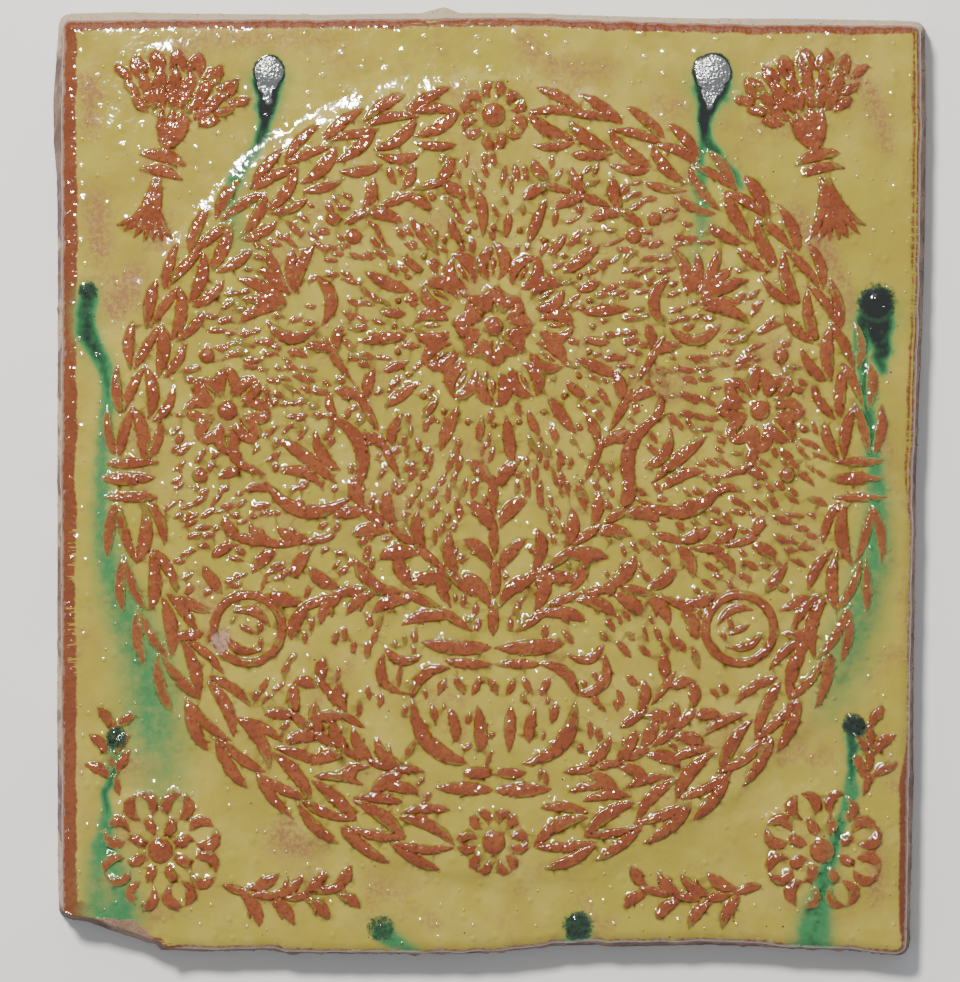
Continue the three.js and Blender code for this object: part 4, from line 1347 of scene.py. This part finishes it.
def grain_tree():
    """Scatters grains over a mesh where a named amount is high, and keeps only the grains."""
    tree = bpy.data.node_groups.new("scattered_grains", "GeometryNodeTree")
    sockets = (
        ("Geometry", "NodeSocketGeometry"), ("Region", "NodeSocketString"), ("Density", "NodeSocketFloat"),
        ("Smallest", "NodeSocketFloat"), ("Largest", "NodeSocketFloat"), ("Flatness", "NodeSocketFloat"),
        ("Seed", "NodeSocketInt"), ("Material", "NodeSocketMaterial"))
    for name, kind in sockets:
        tree.interface.new_socket(name, in_out="INPUT", socket_type=kind)
    tree.interface.new_socket("Geometry", in_out="OUTPUT", socket_type="NodeSocketGeometry")
    nodes = Nodes(tree)
    given = nodes.add("NodeGroupInput").outputs
    region = nodes.add("GeometryNodeInputNamedAttribute", {"Name": given["Region"]}, data_type="FLOAT")
    chosen = nodes.math("GREATER_THAN", region.outputs["Attribute"], 0.9)
    points = nodes.add("GeometryNodeDistributePointsOnFaces", {
        "Mesh": given["Geometry"], "Selection": chosen, "Density": given["Density"], "Seed": given["Seed"]})
    grain = nodes.add("GeometryNodeMeshUVSphere", {"Segments": 7, "Rings": 5, "Radius": 0.5})
    round_grain = nodes.add("GeometryNodeSetShadeSmooth", {"Geometry": grain.outputs["Mesh"]})
    limits = {2: given["Smallest"], 3: given["Largest"], "Seed": given["Seed"]}
    size = nodes.add("FunctionNodeRandomValue", limits, data_type="FLOAT").outputs[1]
    flat = nodes.times(size, given["Flatness"])
    scale = nodes.add("ShaderNodeCombineXYZ", {"X": size, "Y": size, "Z": flat}).outputs["Vector"]
    placed_grains = nodes.add("GeometryNodeInstanceOnPoints", {
        "Points": points.outputs["Points"], "Instance": round_grain.outputs["Geometry"],
        "Rotation": points.outputs["Rotation"], "Scale": scale})
    real = nodes.add("GeometryNodeRealizeInstances", {"Geometry": placed_grains.outputs["Instances"]})
    coated = nodes.add("GeometryNodeSetMaterial", {
        "Geometry": real.outputs["Geometry"], "Material": given["Material"]})
    nodes.add("NodeGroupOutput", {"Geometry": coated.outputs["Geometry"]})
    return tree


def scatter(scene, name, tile, tree, values):
    """A finished piece of grains that lie on the tile's own surface."""
    piece = bpy.data.objects.new(name, tile.data.copy())
    scene.collection.objects.link(piece)
    grow = piece.modifiers.new("Grains", "NODES")
    grow.node_group = tree
    for socket in tree.interface.items_tree:
        if socket.in_out == "INPUT" and socket.name in values:
            grow[socket.identifier] = values[socket.name]
    bpy.context.view_layer.update()
    seen = piece.evaluated_get(bpy.context.evaluated_depsgraph_get())
    mesh = bpy.data.meshes.new_from_object(seen)
    piece.modifiers.remove(grow)
    piece.data = mesh
    mesh.name = name
    if not mesh.polygons:
        raise RuntimeError(name + " came out empty")
    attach(piece, "root")
    print(name, "has", len(mesh.polygons), "faces")
    return piece


class RELIEFTILE_OT_tile(bpy.types.Operator):
    """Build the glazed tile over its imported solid"""

    bl_idname = "relief_tile.tile"
    bl_label = "Build Tile"

    def execute(self, context):
        settings = context.scene.relief_tile
        mesh = build_tile_mesh("glazed_tile", settings, 1.75)
        tile = bpy.data.objects.new("glazed_tile", mesh)
        context.scene.collection.objects.link(tile)
        mesh.materials.append(glazed_material(settings, clay_group(), speckle_group()))
        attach(tile, "root")
        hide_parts(TILE_NODE)
        print("glazed_tile has", len(mesh.polygons), "triangles")
        return {"FINISHED"}


class RELIEFTILE_OT_grains(bpy.types.Operator):
    """Scatter iron specks in the glaze and grit in the bare clay"""

    bl_idname = "relief_tile.grains"
    bl_label = "Scatter Grains"

    speck_density: bpy.props.FloatProperty(
        name="Speck Density", description="Iron specks for each square metre of glaze", default=1500)
    grit_density: bpy.props.FloatProperty(
        name="Grit Density", description="Grains of sand for each square metre of raw clay", default=30000)

    def execute(self, context):
        scene = context.scene
        tile = scene.objects["glazed_tile"]
        tree = grain_tree()
        iron = grain_material("iron_specks", *IRON_TONES, 0.2)
        grit = grain_material("clay_grit", *GRIT_TONES, 0.85)
        scatter(scene, "iron_specks", tile, tree, {
            "Region": "glazed", "Density": self.speck_density, "Smallest": 0.0002, "Largest": 0.0007,
            "Flatness": 0.16, "Seed": 8, "Material": iron})
        scatter(scene, "clay_grit", tile, tree, {
            "Region": "raw", "Density": self.grit_density, "Smallest": 0.0003, "Largest": 0.0008,
            "Flatness": 0.5, "Seed": 3, "Material": grit})
        return {"FINISHED"}


class RELIEFTILE_OT_studio(bpy.types.Operator):
    """Set the floor, the lights and the camera that looks straight down"""

    bl_idname = "relief_tile.studio"
    bl_label = "Set Studio"

    camera_height: bpy.props.FloatProperty(
        name="Camera Height", description="From the floor to the camera",
        default=1.6, subtype="DISTANCE", unit="LENGTH")

    def execute(self, context):
        scene = context.scene
        floor_mesh = bpy.data.meshes.new("floor")
        corners = [(x * FLOOR_HALF, y * FLOOR_HALF, 0) for x, y in ((-1, -1), (1, -1), (1, 1), (-1, 1))]
        floor_mesh.from_pydata(corners, [], [(0, 1, 2, 3)])
        floor = bpy.data.objects.new("floor", floor_mesh)
        scene.collection.objects.link(floor)
        paper, _, shader = new_material("pale_floor")
        shader.inputs["Base Color"].default_value = FLOOR_COLOR
        shader.inputs["Roughness"].default_value = 0.9
        floor_mesh.materials.append(paper)
        floor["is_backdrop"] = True

        world = bpy.data.worlds.new("studio")
        world.use_nodes = True
        background = world.node_tree.nodes["Background"].inputs
        background["Color"].default_value = SKY_COLOR
        background["Strength"].default_value = 0.4
        scene.world = world
        self.lamp(scene, "key_light", direction=(-0.3, 0.5, 1.0), distance=1.35, size=0.21, watts=25)
        self.lamp(scene, "sky_light", direction=(-0.2, 1.2, 1.0), distance=1.9, size=1.3, watts=3)

        aside = (PHOTO_WIDTH / 2 - FACE_MIDDLE_PIXEL[0]) * PIXEL_MM * MM
        above = (FACE_MIDDLE_PIXEL[1] - PHOTO_HEIGHT / 2) * PIXEL_MM * MM
        camera = bpy.data.cameras.new("camera")
        seen_width = PHOTO_WIDTH * PIXEL_MM * MM
        distance = self.camera_height - scene.relief_tile.thickness
        camera.sensor_fit = "HORIZONTAL"
        camera.lens = camera.sensor_width * distance / seen_width
        view = bpy.data.objects.new("camera", camera)
        view.location = (FACE_MIDDLE_X + aside, FACE_MIDDLE_Y + above, self.camera_height)
        scene.collection.objects.link(view)
        scene.camera = view
        return {"FINISHED"}

    def lamp(self, scene, name, direction, distance, size, watts):
        """A round area lamp that shines on the tile from a direction."""
        light = bpy.data.lights.new(name, "AREA")
        light.shape = "DISK"
        light.size = size
        light.energy = watts
        light.color = LAMP_COLOR
        lamp = bpy.data.objects.new(name, light)
        way = Vector(direction).normalized()
        lamp.location = way * distance
        lamp.rotation_euler = way.to_track_quat("Z", "Y").to_euler()
        scene.collection.objects.link(lamp)


class RELIEFTILE_PT_panel(bpy.types.Panel):
    """The tile's sizes, colours and build steps"""

    bl_label = "Relief Tile"
    bl_idname = "RELIEFTILE_PT_panel"
    bl_space_type = "VIEW_3D"
    bl_region_type = "UI"
    bl_category = "Relief Tile"

    def draw(self, context):
        settings = context.scene.relief_tile
        for name in ReliefTileSettings.__annotations__:
            self.layout.prop(settings, name)
        for operator in OPERATORS:
            self.layout.operator(operator.bl_idname)


OPERATORS = (RELIEFTILE_OT_studio, RELIEFTILE_OT_tile, RELIEFTILE_OT_grains)
CLASSES = (ReliefTileSettings, *OPERATORS, RELIEFTILE_PT_panel)


def register():
    for cls in CLASSES:
        bpy.utils.register_class(cls)
    bpy.types.Scene.relief_tile = bpy.props.PointerProperty(type=ReliefTileSettings)


def unregister():
    del bpy.types.Scene.relief_tile
    for cls in reversed(CLASSES):
        bpy.utils.unregister_class(cls)


def main():
    register()
    bpy.ops.relief_tile.studio()
    bpy.ops.relief_tile.tile()
    bpy.ops.relief_tile.grains()
    sizes = {"cad": BOX_AT_LOAD, "visual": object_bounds()}
    {key: [list(corner) for corner in box] for key, box in sizes.items()}


if __name__ == "__main__":
    main()
